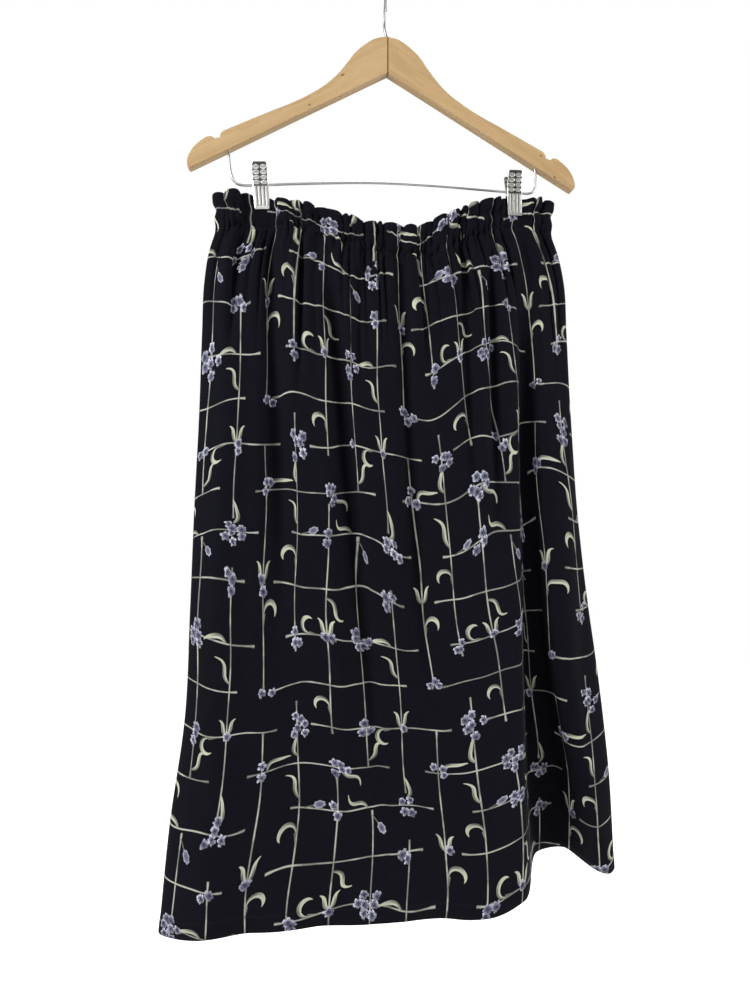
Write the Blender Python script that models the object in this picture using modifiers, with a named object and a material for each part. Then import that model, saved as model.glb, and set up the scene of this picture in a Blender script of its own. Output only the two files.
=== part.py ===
"""A gathered midi skirt held by a wooden clip hanger.

Metres, +Z up, the front faces -Y. The origin is the inside top of the hook,
where the hanger bears on whatever it hangs from. The cloth is one tube: its
plan at each level is a line from side to side, an oval depth and a table of
folds, and every thread keeps its share of the way round on its way down.
"""

import math
from collections import namedtuple

import bmesh
import bpy
import numpy as np
from mathutils import Matrix, Vector

# ---------------------------------------------------------------- sizes
SEAM_GAP = 0.0003            # between pieces that touch on the real thing

# Wooden arms
ARM_THICK = 0.012
ARM_ROUND = 0.0022           # radius on the long edges
WIRE_RADIUS = 0.0014
WIRE_HOLE = 0.0017

# One arm's outline, from the central seam out to the tip and back:
# distance from the middle, height, and whether the outline has a corner there
ARM_OUTLINE = [
    (0.0000, -0.0742, True),
    (0.0115, -0.0763, False),
    (0.0245, -0.0840, False),
    (0.0358, -0.0940, False),
    (0.0445, -0.1055, False),
    (0.0535, -0.1170, False),
    (0.0656, -0.1296, False),
    (0.0815, -0.1413, False),
    (0.1000, -0.1523, False),
    (0.1366, -0.1699, False),
    (0.1805, -0.1913, True),
    (0.1835, -0.1950, True),
    (0.1838, -0.1986, True),
    (0.1885, -0.2001, True),
    (0.1940, -0.1979, False),
    (0.2045, -0.2036, False),
    (0.2145, -0.2146, False),
    (0.2188, -0.2266, False),
    (0.2182, -0.2312, False),
    (0.2158, -0.2336, True),
    (0.0000, -0.1142, True),
]

# Hook: a stem up from the apex, bent a little to the left, a swing to the front and
# three quarters of a turn, which comes back over the apex at its top
HOOK_INSIDE = 0.019          # inside radius; its top is the origin
STEM_FOOT = -0.096
STEM_BEND = -0.075
STEM_TOP = -0.060
HOOK_LEAN = -0.0032          # to one side at the foot of the turn,
TIP_LEAN = 0.0014            # and to the other at its tip
HOOK_START = math.radians(-48)
HOOK_END = math.radians(212)

# Clip bar: where its ends go up into the arms, how deep, and the wire's route
# between them from left to right (x, z)
BAR_LEGS = {"left": -0.1746, "right": 0.1731}
BAR_HOLE_DEPTH = 0.009
BAR_ROUTE = [
    (-0.1744, -0.2190),
    (-0.1728, -0.2330),
    (-0.1690, -0.2425),
    (-0.1610, -0.2468),
    (-0.1400, -0.2458),
    (-0.0950, -0.2415),
    (-0.0193, -0.2362),
    (0.0500, -0.2354),
    (0.1076, -0.2366),
    (0.1474, -0.2378),
    (0.1645, -0.2378),
    (0.1715, -0.2340),
    (0.1732, -0.2270),
]

# Clips: name, place along the bar, lean to the right at the foot (degrees)
CLIPS = [
    ("left", -0.1405, 4.0),
    ("right", 0.1474, 1.5),
]
PLATE_THICK = 0.0010
# Plate section: height above the bar, distance of its middle surface from the
# hanger's plane, half of its width
CLIP_PLATE = [
    (0.0220, 0.0092, 0.0066),
    (0.0205, 0.0086, 0.0079),
    (0.0170, 0.0076, 0.0083),
    (0.0090, 0.0052, 0.0083),
    (0.0000, 0.0036, 0.0083),
    (-0.0080, 0.0032, 0.0082),
    (-0.0150, 0.00300, 0.0081),
    (-0.0240, 0.00296, 0.0080),
    (-0.0262, 0.0032, 0.0078),
    (-0.0275, 0.0038, 0.0074),
]
SPRING_RADIUS = 0.0026
SPRING_LENGTH = 0.0065

# Cloth
CLOTH_THICK = 0.0014
CASING_THICK = 0.0020        # doubled cloth over elastic
WAVES = 26                   # gathers along each panel
FINE, COARSE = 4, 2          # columns of a row along one gather
GATHER_LIMIT = 0.6           # most of the free room that a gather takes up
PLAN_POINTS = 601            # fine points along a panel's plan
SIDE_ROUNDNESS = 0.7
JAW_FLAT = 0.0105            # half width of cloth held flat by a clip
JAW_FADE = 0.030             # and how far its pull shows
JAW_SHIFT = 0.0010           # the jaws' place beside the clip's, from its lean

# Plan at each level: share of the way down the skirt, left side, right side,
# the sides' y, and the front's and the back's depth from the line between them
SECTIONS = [
    (0.00, -0.1885, 0.1915, 0.000, 0.000, 0.017, 0.017),
    (0.03, -0.1955, 0.1995, 0.000, 0.000, 0.020, 0.020),
    (0.07, -0.2002, 0.2062, 0.000, 0.001, 0.024, 0.025),
    (0.15, -0.2028, 0.2105, -0.001, 0.003, 0.029, 0.031),
    (0.27, -0.2057, 0.2165, -0.003, 0.007, 0.034, 0.037),
    (0.40, -0.2105, 0.2245, -0.004, 0.011, 0.038, 0.041),
    (0.55, -0.2148, 0.2385, -0.006, 0.015, 0.041, 0.044),
    (0.70, -0.2200, 0.2565, -0.007, 0.019, 0.042, 0.045),
    (0.85, -0.2355, 0.2710, -0.009, 0.023, 0.043, 0.045),
    (1.00, -0.2465, 0.2785, -0.010, 0.025, 0.043, 0.044),
]

# Folds of each panel. A positive depth presses the cloth in, a negative one
# swells it out. Places and half widths run from the waist to the hem; depths
# are at the waist, at MIDDLE and at the hem; flat is the share of the half
# width that is level; reach is the share of the way down where it has died.
MIDDLE = 0.40
FADE = 0.22
Fold = namedtuple("Fold", "x_waist x_hem waist middle hem half_waist half_hem flat reach")
FRONT_FOLDS = [
    Fold(-0.163, -0.176, 0.0040, 0.0010, 0.0000, 0.013, 0.020, 0.0, 0.30),
    Fold(-0.130, -0.112, 0.0060, 0.0085, 0.0000, 0.015, 0.034, 0.0, 0.75),
    Fold(-0.098, -0.090, 0.0030, 0.0000, 0.0000, 0.010, 0.016, 0.0, 0.26),
    Fold(-0.070, -0.010, 0.0035, 0.0125, 0.0000, 0.014, 0.040, 0.1, 0.95),
    Fold(-0.004, 0.030, 0.0035, 0.0080, 0.0000, 0.013, 0.036, 0.0, 0.88),
    Fold(0.041, 0.050, 0.0040, 0.0010, 0.0000, 0.011, 0.018, 0.0, 0.35),
    Fold(0.082, 0.105, 0.0040, 0.0040, 0.0000, 0.013, 0.026, 0.0, 0.62),
    Fold(0.118, 0.122, 0.0045, 0.0080, 0.0000, 0.014, 0.024, 0.0, 0.60),
    Fold(0.160, 0.209, 0.0060, 0.0240, 0.0570, 0.016, 0.060, 0.3, 9.00),
    Fold(0.178, 0.250, 0.0030, 0.0010, 0.0000, 0.010, 0.020, 0.0, 0.30),
    Fold(-0.168, -0.196, -0.0020, -0.0070, -0.0095, 0.016, 0.046, 0.0, 9.00),
    Fold(0.100, 0.128, -0.0010, -0.0050, -0.0085, 0.030, 0.070, 0.2, 9.00),
    Fold(-0.010, 0.000, 0.0000, 0.0020, 0.0060, 0.050, 0.100, 0.2, 9.00),
]
BACK_FOLDS = [
    Fold(-0.150, -0.182, 0.0040, 0.0060, 0.0060, 0.014, 0.034, 0.0, 9.00),
    Fold(-0.096, -0.118, 0.0045, 0.0180, 0.0330, 0.016, 0.046, 0.1, 9.00),
    Fold(-0.050, -0.052, 0.0040, 0.0020, 0.0000, 0.012, 0.022, 0.0, 0.45),
    Fold(-0.010, -0.022, 0.0035, 0.0100, 0.0180, 0.014, 0.038, 0.0, 9.00),
    Fold(0.030, 0.040, 0.0040, 0.0070, 0.0000, 0.012, 0.028, 0.0, 0.70),
    Fold(0.080, 0.092, 0.0050, 0.0150, 0.0260, 0.016, 0.042, 0.1, 9.00),
    Fold(0.120, 0.140, 0.0035, 0.0010, 0.0000, 0.012, 0.020, 0.0, 0.35),
    Fold(-0.060, -0.070, -0.0020, -0.0060, -0.0120, 0.018, 0.040, 0.0, 9.00),
    Fold(0.160, 0.205, -0.0020, -0.0080, -0.0170, 0.022, 0.062, 0.2, 9.00),
]

# Waist: place along it, height of the frill's edge, height of the casing's foot
WAIST_LINE = [
    (-0.200, -0.2625, -0.3000),
    (-0.170, -0.2575, -0.2980),
    (-0.139, -0.2598, -0.2955),
    (-0.110, -0.2652, -0.2950),
    (-0.080, -0.2715, -0.3015),
    (-0.045, -0.2810, -0.3110),
    (-0.020, -0.2868, -0.3180),
    (0.010, -0.2872, -0.3215),
    (0.030, -0.2885, -0.3225),
    (0.055, -0.2770, -0.3155),
    (0.085, -0.2640, -0.3030),
    (0.115, -0.2520, -0.2885),
    (0.148, -0.2455, -0.2810),
    (0.170, -0.2458, -0.2835),
    (0.200, -0.2510, -0.2890),
]
# Rows of the casing: share of the way up it, height of its gathers
CASING_ROWS = [
    (1.00, 0.0036),
    (0.80, 0.0029),
    (0.58, 0.0014),
    (0.30, 0.0019),
    (0.00, 0.0016),
]
FRILL_LIFT = 0.0012          # unevenness of the frill's edge
# Rows of a panel: share of the way down, height of its gathers, columns a wave
PANEL_ROWS = [
    (0.000, 0.0016, FINE),
    (0.016, 0.0028, FINE),
    (0.045, 0.0022, FINE),
    (0.085, 0.0000, COARSE),
    (0.130, 0.0000, COARSE),
    (0.190, 0.0000, COARSE),
    (0.260, 0.0000, COARSE),
    (0.340, 0.0000, COARSE),
    (0.430, 0.0000, COARSE),
    (0.530, 0.0000, COARSE),
    (0.630, 0.0000, COARSE),
    (0.730, 0.0000, COARSE),
    (0.830, 0.0000, COARSE),
    (0.920, 0.0000, COARSE),
    (1.000, 0.0000, COARSE),
]
# How firmly the clips flatten the cloth: share of the way down, or up the
# casing where it is negative, and strength
CLIP_PULL = [
    (-1.00, 1.00),
    (-0.30, 1.00),
    (0.00, 0.85),
    (0.03, 0.62),
    (0.08, 0.34),
    (0.15, 0.12),
    (0.25, 0.00),
    (1.00, 0.00),
]

# Hem: place along it and its height, front and back
FRONT_HEM = [
    (-0.250, -1.0480),
    (-0.225, -1.0460),
    (-0.190, -1.0430),
    (-0.135, -1.0433),
    (-0.097, -1.0446),
    (0.008, -1.0495),
    (0.090, -1.0509),
    (0.130, -1.0456),
    (0.152, -1.0350),
    (0.176, -1.0230),
    (0.205, -1.0165),
    (0.228, -1.0195),
    (0.250, -1.0310),
    (0.268, -1.0355),
    (0.285, -1.0300),
]
BACK_HEM = [
    (-0.250, -1.0480),
    (-0.150, -1.0440),
    (-0.050, -1.0460),
    (0.060, -1.0420),
    (0.140, -1.0320),
    (0.200, -1.0215),
    (0.245, -1.0245),
    (0.285, -1.0290),
]

SIDES = {
    "front": (-1, 5, FRONT_FOLDS, FRONT_HEM),
    "back": (1, 6, BACK_FOLDS, BACK_HEM),
}


# ---------------------------------------------------------------- materials
def material(name, colour, roughness, metallic=0.0):
    made = bpy.data.materials.new(name)
    made.use_nodes = True
    shader = made.node_tree.nodes["Principled BSDF"]
    shader.inputs["Base Color"].default_value = (*colour, 1.0)
    shader.inputs["Roughness"].default_value = roughness
    shader.inputs["Metallic"].default_value = metallic
    return made


# ---------------------------------------------------------------- small tools
def table_curve(rows, column, at):
    """One column of a table, read as a smooth curve over its first column."""
    keys = np.array([row[0] for row in rows])
    values = np.array([row[column] for row in rows])
    slopes = np.gradient(values, keys)
    at = np.clip(at, keys[0], keys[-1])
    before = np.clip(np.searchsorted(keys, at) - 1, 0, len(keys) - 2)
    span = keys[before + 1] - keys[before]
    t = (at - keys[before]) / span
    return ((1 + 2 * t) * (1 - t) ** 2 * values[before]
            + t * (1 - t) ** 2 * span * slopes[before]
            + t * t * (3 - 2 * t) * values[before + 1]
            - t * t * (1 - t) * span * slopes[before + 1])


def ease(t):
    t = np.clip(t, 0.0, 1.0)
    return t * t * (3 - 2 * t)


def smooth_route(points, steps=4):
    """Points read from a smooth curve through the route's own points."""
    points = [Vector(p) for p in points]
    ends = [points[0]] + points + [points[-1]]
    route = []
    for a, b, c, d in zip(ends, ends[1:], ends[2:], ends[3:]):
        for step in range(steps):
            t = step / steps
            route.append(0.5 * (2 * b + (c - a) * t + (2 * a - 5 * b + 4 * c - d) * t * t
                                + (3 * b - a - 3 * c + d) * t ** 3))
    return route + [points[-1]]


def add_object(name, data, finish):
    made = bpy.data.objects.new(name, data)
    data.materials.append(finish)
    skirt_collection.objects.link(made)
    return made


def wire(name, points, finish):
    """A round wire along the points."""
    curve = bpy.data.curves.new(name, "CURVE")
    curve.dimensions = "3D"
    curve.bevel_depth = WIRE_RADIUS
    curve.bevel_resolution = 2
    curve.use_fill_caps = True
    spline = curve.splines.new("POLY")
    spline.points.add(len(points) - 1)
    for place, point in zip(spline.points, points):
        place.co = (*point, 1.0)
    return add_object(name, curve, finish)


def hole(name, radius, foot, top):
    """A hidden cylinder that cuts a hole from foot to top."""
    foot, top = Vector(foot), Vector(top)
    bpy.ops.mesh.primitive_cylinder_add(vertices=16, radius=radius, depth=(top - foot).length,
                                        location=(foot + top) / 2)
    cutter = bpy.context.object
    cutter.name = name
    cutter.rotation_euler = (top - foot).to_track_quat("Z", "Y").to_euler()
    cutter.hide_render = True
    cutter.display_type = "WIRE"
    for collection in list(cutter.users_collection):
        collection.objects.unlink(cutter)
    cutter_collection.objects.link(cutter)
    return cutter


def cut(target, cutter):
    boolean = target.modifiers.new("cut_" + cutter.name, "BOOLEAN")
    boolean.operation = "DIFFERENCE"
    boolean.object = cutter


# ---------------------------------------------------------------- hanger
def arm_mesh(name):
    """The flat outline of one arm, filled, thickened and rounded on its long edges."""
    curve = bpy.data.curves.new(name, "CURVE")
    curve.dimensions = "2D"
    curve.fill_mode = "BOTH"
    curve.extrude = ARM_THICK / 2
    curve.resolution_u = 3
    spline = curve.splines.new("BEZIER")
    spline.bezier_points.add(len(ARM_OUTLINE) - 1)
    spline.use_cyclic_u = True
    for place, (x, z, corner) in zip(spline.bezier_points, ARM_OUTLINE):
        place.co = (max(x, SEAM_GAP / 2), z, 0)
        place.handle_left_type = place.handle_right_type = "VECTOR" if corner else "AUTO"
    guide = bpy.data.objects.new(name, curve)
    skirt_collection.objects.link(guide)
    bpy.context.view_layer.update()
    evaluated = guide.evaluated_get(bpy.context.evaluated_depsgraph_get())
    mesh = bpy.data.meshes.new_from_object(evaluated)
    bpy.data.objects.remove(guide)
    bpy.data.curves.remove(curve)

    bm = bmesh.new()
    bm.from_mesh(mesh)
    bmesh.ops.remove_doubles(bm, verts=bm.verts, dist=0.00005)
    bmesh.ops.dissolve_limit(bm, angle_limit=0.001, verts=bm.verts, edges=bm.edges)
    rims = [e for e in bm.edges
            if abs(abs(e.verts[0].co.z) - ARM_THICK / 2) < 1e-5
            and abs(e.verts[0].co.z - e.verts[1].co.z) < 1e-5
            and e.calc_face_angle(0) > 0.5
            and max(v.co.x for v in e.verts) > SEAM_GAP]
    bmesh.ops.bevel(bm, geom=rims, offset=ARM_ROUND, segments=2, profile=0.5, affect="EDGES",
                    clamp_overlap=True)
    bmesh.ops.remove_doubles(bm, verts=bm.verts, dist=0.00002)
    bm.transform(Matrix.Rotation(math.radians(90), 4, "X"))
    bmesh.ops.recalc_face_normals(bm, faces=bm.faces)
    bm.to_mesh(mesh)
    bm.free()
    mesh.shade_smooth()
    mesh.set_sharp_from_angle(angle=math.radians(40))
    return mesh


def underside(x):
    """Height of the arms' straight lower edge at this distance from the middle."""
    (tip_x, tip_z, _), (_, seam_z, _) = ARM_OUTLINE[-2:]
    return seam_z + (tip_z - seam_z) * abs(x) / tip_x


def bar_hole_top(x):
    return underside(x) + BAR_HOLE_DEPTH


def build_arms(finish):
    stem_hole = hole("stem_hole", WIRE_HOLE, (0, 0, STEM_FOOT - SEAM_GAP), (0, 0, STEM_FOOT + 0.05))
    for side, leg_x in BAR_LEGS.items():
        mesh = arm_mesh("hanger_arm_" + side)
        if side == "left":
            bm = bmesh.new()
            bm.from_mesh(mesh)
            bm.transform(Matrix.Scale(-1, 4, Vector((1, 0, 0))))
            bmesh.ops.reverse_faces(bm, faces=bm.faces)
            bm.to_mesh(mesh)
            bm.free()
        arm = add_object("hanger_arm_" + side, mesh, finish)
        cut(arm, stem_hole)
        top = bar_hole_top(leg_x)
        cut(arm, hole("leg_hole_" + side, WIRE_HOLE, (leg_x, 0, top - 0.04), (leg_x, 0, top)))


def hook_route():
    """Stem, swing and turn of the hook, seen end on from the hanger's front."""
    radius = HOOK_INSIDE + WIRE_RADIUS
    start = Vector((0, -radius * math.cos(HOOK_START), radius * math.sin(HOOK_START) - HOOK_INSIDE))
    heading = Vector((0, math.sin(HOOK_START), math.cos(HOOK_START)))
    route = [Vector((0, 0, z)) for z in (STEM_FOOT, *np.linspace(STEM_BEND, STEM_TOP, 5)[:-1])]
    ends = [Vector((0, 0, STEM_TOP)), Vector((0, 0, STEM_TOP + 0.010)), start - 0.010 * heading, start]
    for step in range(8):
        t = step / 8
        route.append((1 - t) ** 3 * ends[0] + 3 * t * (1 - t) ** 2 * ends[1]
                     + 3 * t * t * (1 - t) * ends[2] + t ** 3 * ends[3])
    for point in route:
        point.x = HOOK_LEAN * ease((point.z - STEM_BEND) / (STEM_TOP - STEM_BEND))
    for angle in np.linspace(HOOK_START, HOOK_END, 23):
        lean = (HOOK_LEAN * (1 - ease((angle - HOOK_START) / (math.pi / 2 - HOOK_START)))
                + TIP_LEAN * ease((angle - math.pi / 2) / (HOOK_END - math.pi / 2)))
        route.append(Vector((lean, -radius * math.cos(angle), radius * math.sin(angle) - HOOK_INSIDE)))
    return route


def bar_route():
    """The clip bar's wire, its ends seated in the arms' undersides."""
    left, right = ((x, bar_hole_top(x) - SEAM_GAP) for x in BAR_LEGS.values())
    return smooth_route([(x, 0, z) for x, z in [left, *BAR_ROUTE, right]])


def bar_height(x):
    flat = [p for p in bar_route() if abs(p.x) < 0.165]
    return float(np.interp(x, [p.x for p in flat], [p.z for p in flat]))


def clip_plate(name, facing, frame, finish):
    """One bent plate of a clip; facing is -1 for the front and 1 for the back."""
    bm = bmesh.new()
    rows = [[bm.verts.new(frame @ Vector((side * half, facing * standoff, z))) for side in (-1, 1)]
            for z, standoff, half in CLIP_PLATE]
    for (a, b), (c, d) in zip(rows, rows[1:]):
        bm.faces.new((a, c, d, b) if facing < 0 else (a, b, d, c))
    mesh = bpy.data.meshes.new(name)
    bm.to_mesh(mesh)
    bm.free()
    plate = add_object(name, mesh, finish)
    thick = plate.modifiers.new("thickness", "SOLIDIFY")
    thick.thickness = PLATE_THICK
    thick.offset = 0.0
    return plate


def build_clips(finish):
    for side, x, lean in CLIPS:
        centre = Vector((x, 0, bar_height(x)))
        frame = Matrix.Translation(centre) @ Matrix.Rotation(math.radians(-lean), 4, "Y")
        clip_plate("clip_%s_front" % side, -1, frame, finish)
        clip_plate("clip_%s_back" % side, 1, frame, finish)
        bpy.ops.mesh.primitive_cylinder_add(vertices=24, radius=SPRING_RADIUS, depth=SPRING_LENGTH)
        spring = bpy.context.object
        spring.name = "clip_%s_spring" % side
        spring.matrix_world = frame @ Matrix.Rotation(math.radians(90), 4, "Y")
        spring.data.materials.append(finish)
        for collection in list(spring.users_collection):
            collection.objects.unlink(spring)
        skirt_collection.objects.link(spring)
        slope = math.atan2(bar_height(x + 0.004) - bar_height(x - 0.004), 0.008)
        along = Vector((math.cos(slope), 0, math.sin(slope))) * SPRING_LENGTH
        cut(spring, hole("bar_hole_" + side, WIRE_HOLE, centre - along, centre + along))


# ---------------------------------------------------------------- cloth
def fold_depth(fold, down):
    """Depth of a fold at this share of the way down."""
    if down < MIDDLE:
        depth = fold.waist + (fold.middle - fold.waist) * ease(down / MIDDLE)
    else:
        depth = fold.middle + (fold.hem - fold.middle) * ease((down - MIDDLE) / (1 - MIDDLE))
    return depth * (1 - ease((down - fold.reach + FADE) / FADE))


def clip_grip(x, down):
    """How flat the clips hold the cloth at this place, from 0 to 1."""
    strength = np.clip(table_curve(CLIP_PULL, 1, down), 0, 1)
    grip = np.zeros_like(x)
    for _, clip_x, _ in CLIPS:
        away = np.abs(x - clip_x - JAW_SHIFT)
        grip = np.maximum(grip, 1 - ease((away - JAW_FLAT) / (JAW_FADE - JAW_FLAT)))
    return grip * strength


def plan_curve(side, down):
    """The panel's plan at one level: fine points along it and their depth."""
    sign, depth_column, folds, _ = SIDES[side]
    level = max(down, 0.0)
    theta = np.linspace(0, math.pi, PLAN_POINTS)
    share = (1 - np.cos(theta)) / 2
    left, right, left_y, right_y = (table_curve(SECTIONS, c, level) for c in (1, 2, 3, 4))
    x = left + (right - left) * share
    line = left_y + (right_y - left_y) * share
    round_end = np.clip(np.sin(theta), 0, 1) ** SIDE_ROUNDNESS
    depth = table_curve(SECTIONS, depth_column, level) * round_end
    for fold in folds:
        place = fold.x_waist + (fold.x_hem - fold.x_waist) * level
        half = fold.half_waist + (fold.half_hem - fold.half_waist) * level
        away = np.abs(x - place) / half
        depth = depth - (fold_depth(fold, level) * (1 - ease((away - fold.flat) / (1 - fold.flat)))
                         * np.minimum(1, round_end / 0.5))
    grip = clip_grip(x, down)
    held = SEAM_GAP / 2 + CASING_THICK / 2
    depth = depth * (1 - grip) + held * grip
    return np.column_stack((x, line + sign * depth)), depth


def thread_shares(per_wave):
    """Places of the columns round the panel, unevenly spaced like its gathers."""
    phase = np.arange(WAVES * per_wave + 1) / per_wave
    uneven = (0.30 * np.sin(0.83 * phase) + 0.22 * np.sin(2.17 * phase + 1.0)) / WAVES
    window = ease(np.minimum(phase, WAVES - phase) / 2)
    return phase, phase / WAVES + uneven * window


def gather(phase, height):
    """Out and in of the gathers, each a little higher or lower than the next."""
    uneven = 0.82 + 0.20 * np.sin(1.9 * np.floor(phase) + 0.6) + 0.12 * np.sin(4.3 * np.floor(phase))
    window = ease(np.minimum(phase, WAVES - phase) / 1.5)
    return height * uneven * np.sin(2 * math.pi * phase) * window


def ring(side, down, per_wave, height):
    """Columns of one level: middle of the wall in plan, and its outward normal."""
    sign = SIDES[side][0]
    plan, depth = plan_curve(side, down)
    steps = np.hypot(*np.diff(plan, axis=0).T)
    along = np.concatenate(([0.0], np.cumsum(steps)))
    phase, share = thread_shares(per_wave)
    at = SEAM_GAP / 2 + share * (along[-1] - SEAM_GAP)
    middle = np.column_stack([np.interp(at, along, plan[:, k]) for k in (0, 1)])
    tangent = np.gradient(plan, along, axis=0)
    tangent[0] = (0, sign)
    tangent[-1] = (0, -sign)
    facing = np.column_stack([np.interp(at, along, tangent[:, k]) for k in (0, 1)])
    normal = np.column_stack((-sign * facing[:, 1], sign * facing[:, 0]))
    normal /= np.linalg.norm(normal, axis=1)[:, None]
    room = np.maximum(np.interp(at, along, depth) - SEAM_GAP / 2 - CASING_THICK / 2, 0)
    wave = np.clip(gather(phase, height), -GATHER_LIMIT * room, GATHER_LIMIT * room)
    return middle, normal, wave


def wall_row(middle, normal, wave, z, thick):
    """Outer and inner points of one row of a cloth wall."""
    out = middle + normal * (wave + thick / 2)[:, None]
    back = middle + normal * (wave - thick / 2)[:, None]
    return (np.column_stack((out, z)), np.column_stack((back, z)))


def casing_rows(side):
    rows = []
    for up, height in CASING_ROWS:
        middle, normal, wave = ring(side, -up, FINE, height)
        x = middle[:, 0]
        top, foot = table_curve(WAIST_LINE, 1, x), table_curve(WAIST_LINE, 2, x)
        phase, _ = thread_shares(FINE)
        lift = FRILL_LIFT * up ** 3 * np.sin(2 * math.pi * phase + 0.7) * np.sin(1.3 * phase)
        z = foot + (top - foot) * up + lift + (SEAM_GAP / 2 if up == 0 else 0)
        rows.append(wall_row(middle, normal, wave, z, CASING_THICK))
    return rows


def panel_rows(side):
    rows = []
    hem_line = SIDES[side][3]
    for down, height, per_wave in PANEL_ROWS:
        middle, normal, wave = ring(side, down, per_wave, height)
        top = table_curve(WAIST_LINE, 2, ring(side, 0.0, per_wave, 0.0)[0][:, 0])
        hem = table_curve(hem_line, 1, ring(side, 1.0, per_wave, 0.0)[0][:, 0])
        z = top + (hem - top) * down - (SEAM_GAP / 2 if down == 0 else 0)
        rows.append(wall_row(middle, normal, wave, z, CLOTH_THICK))
    return rows


def join_rows(bm, upper, lower, flip):
    """Triangles between two rows; the lower one may have half the columns."""
    ratio = (len(upper) - 1) // (len(lower) - 1)
    triangles = []
    for k in range(len(lower) - 1):
        a = upper[k * ratio:(k + 1) * ratio + 1]
        c, d = lower[k], lower[k + 1]
        if ratio == 1:
            triangles += [(a[0], c, d), (a[0], d, a[1])]
        else:
            triangles += [(a[0], c, a[1]), (a[1], c, d), (a[1], d, a[2])]
    for triangle in triangles:
        bm.faces.new(triangle[::-1] if flip else triangle)


def build_wall(name, rows, finish):
    """A closed cloth wall lofted through its rows, which may differ in columns."""
    bm = bmesh.new()
    grid = [[[bm.verts.new(point) for point in skin] for skin in row] for row in rows]
    for (out_a, in_a), (out_b, in_b) in zip(grid, grid[1:]):
        join_rows(bm, out_a, out_b, False)
        join_rows(bm, in_a, in_b, True)
        bm.faces.new((out_a[0], in_a[0], in_b[0], out_b[0]))
        bm.faces.new((out_a[-1], out_b[-1], in_b[-1], in_a[-1]))
    for (outer, inner), flip in ((grid[0], False), (grid[-1], True)):
        for k in range(len(outer) - 1):
            corners = (outer[k], outer[k + 1], inner[k + 1], inner[k])
            bm.faces.new(corners[::-1] if flip else corners)
    bmesh.ops.recalc_face_normals(bm, faces=bm.faces)
    mesh = bpy.data.meshes.new(name)
    bm.to_mesh(mesh)
    bm.free()
    mesh.shade_smooth()
    mesh.set_sharp_from_angle(angle=math.radians(60))
    return add_object(name, mesh, finish)


# ---------------------------------------------------------------- the whole part
for old in list(bpy.data.objects):
    bpy.data.objects.remove(old)

skirt_collection = bpy.data.collections.new("gathered_skirt_on_hanger")
cutter_collection = bpy.data.collections.new("cutters")
for collection in (skirt_collection, cutter_collection):
    bpy.context.scene.collection.children.link(collection)

wood = material("honey_wood", (0.62, 0.36, 0.16), 0.38)
zinc = material("zinc_wire", (0.72, 0.72, 0.74), 0.28, 1.0)
nickel = material("nickel_plate", (0.78, 0.77, 0.75), 0.22, 1.0)
navy_cloth = material("navy_viscose", (0.012, 0.012, 0.022), 0.85)

build_arms(wood)
wire("hook", hook_route(), zinc)
wire("clip_bar", bar_route(), zinc)
build_clips(nickel)
for panel_side in ("front", "back"):
    build_wall("waist_casing_" + panel_side, casing_rows(panel_side), navy_cloth)
    build_wall(panel_side + "_panel", panel_rows(panel_side), navy_cloth)
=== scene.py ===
"""A gathered midi skirt, printed with a trellis of stems and blossoms, on a wooden clip hanger."""

import math
from collections import namedtuple

import bmesh
import bpy
import numpy as np
from mathutils import Matrix, Vector, noise


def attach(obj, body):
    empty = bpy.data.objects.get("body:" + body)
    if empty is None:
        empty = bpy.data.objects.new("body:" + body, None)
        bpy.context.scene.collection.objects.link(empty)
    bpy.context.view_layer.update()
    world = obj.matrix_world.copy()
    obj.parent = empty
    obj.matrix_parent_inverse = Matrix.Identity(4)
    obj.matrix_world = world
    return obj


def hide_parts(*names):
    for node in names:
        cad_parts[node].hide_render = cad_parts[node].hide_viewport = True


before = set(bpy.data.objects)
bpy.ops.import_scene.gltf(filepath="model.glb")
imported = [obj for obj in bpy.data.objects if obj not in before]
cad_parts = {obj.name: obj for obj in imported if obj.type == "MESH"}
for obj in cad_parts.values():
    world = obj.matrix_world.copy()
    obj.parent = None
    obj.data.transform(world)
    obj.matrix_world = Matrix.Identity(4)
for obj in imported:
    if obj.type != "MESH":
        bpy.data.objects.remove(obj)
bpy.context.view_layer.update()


# ================================================================ the studio
# The hanger hangs free over a pale floor, in front of white. A broad soft lamp
# stands at the front left like a window, a weaker one at the right and a faint
# one above and behind, and a small far one glints in the wires.
CAMERA_PLACE = (-0.1208, -0.8031, -0.5916)
CAMERA_TURN = math.radians(-7.6)
CAMERA_LENS = 26
FLOOR_HEIGHT = -1.55
FLOOR_RADIUS = 4.0
LAMP_AIM = Vector((0, 0, -0.6))
# Lamps: name, place, width, watts
LAMPS = [
    ("window", (-1.80, -1.10, 0.25), 0.9, 53.0),
    ("room", (1.85, -0.85, -0.15), 1.0, 29.0),
    ("above", (0.25, 0.35, 0.95), 0.7, 9.0),
    ("glint", (-0.20, -2.00, 0.66), 0.35, 1.3),
]

camera = bpy.data.objects.new("camera", bpy.data.cameras.new("camera"))
camera.location = CAMERA_PLACE
camera.rotation_euler = (math.radians(90), 0, CAMERA_TURN)
camera.data.lens = CAMERA_LENS
bpy.context.scene.collection.objects.link(camera)
bpy.context.scene.camera = camera

for lamp_name, place, width, watts in LAMPS:
    lamp = bpy.data.objects.new(lamp_name, bpy.data.lights.new(lamp_name, "AREA"))
    lamp.data.size = width
    lamp.data.energy = watts
    lamp.location = place
    lamp.rotation_euler = (LAMP_AIM - Vector(place)).to_track_quat("-Z", "Y").to_euler()
    bpy.context.scene.collection.objects.link(lamp)

bpy.context.scene.view_settings.view_transform = "Standard"


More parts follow.
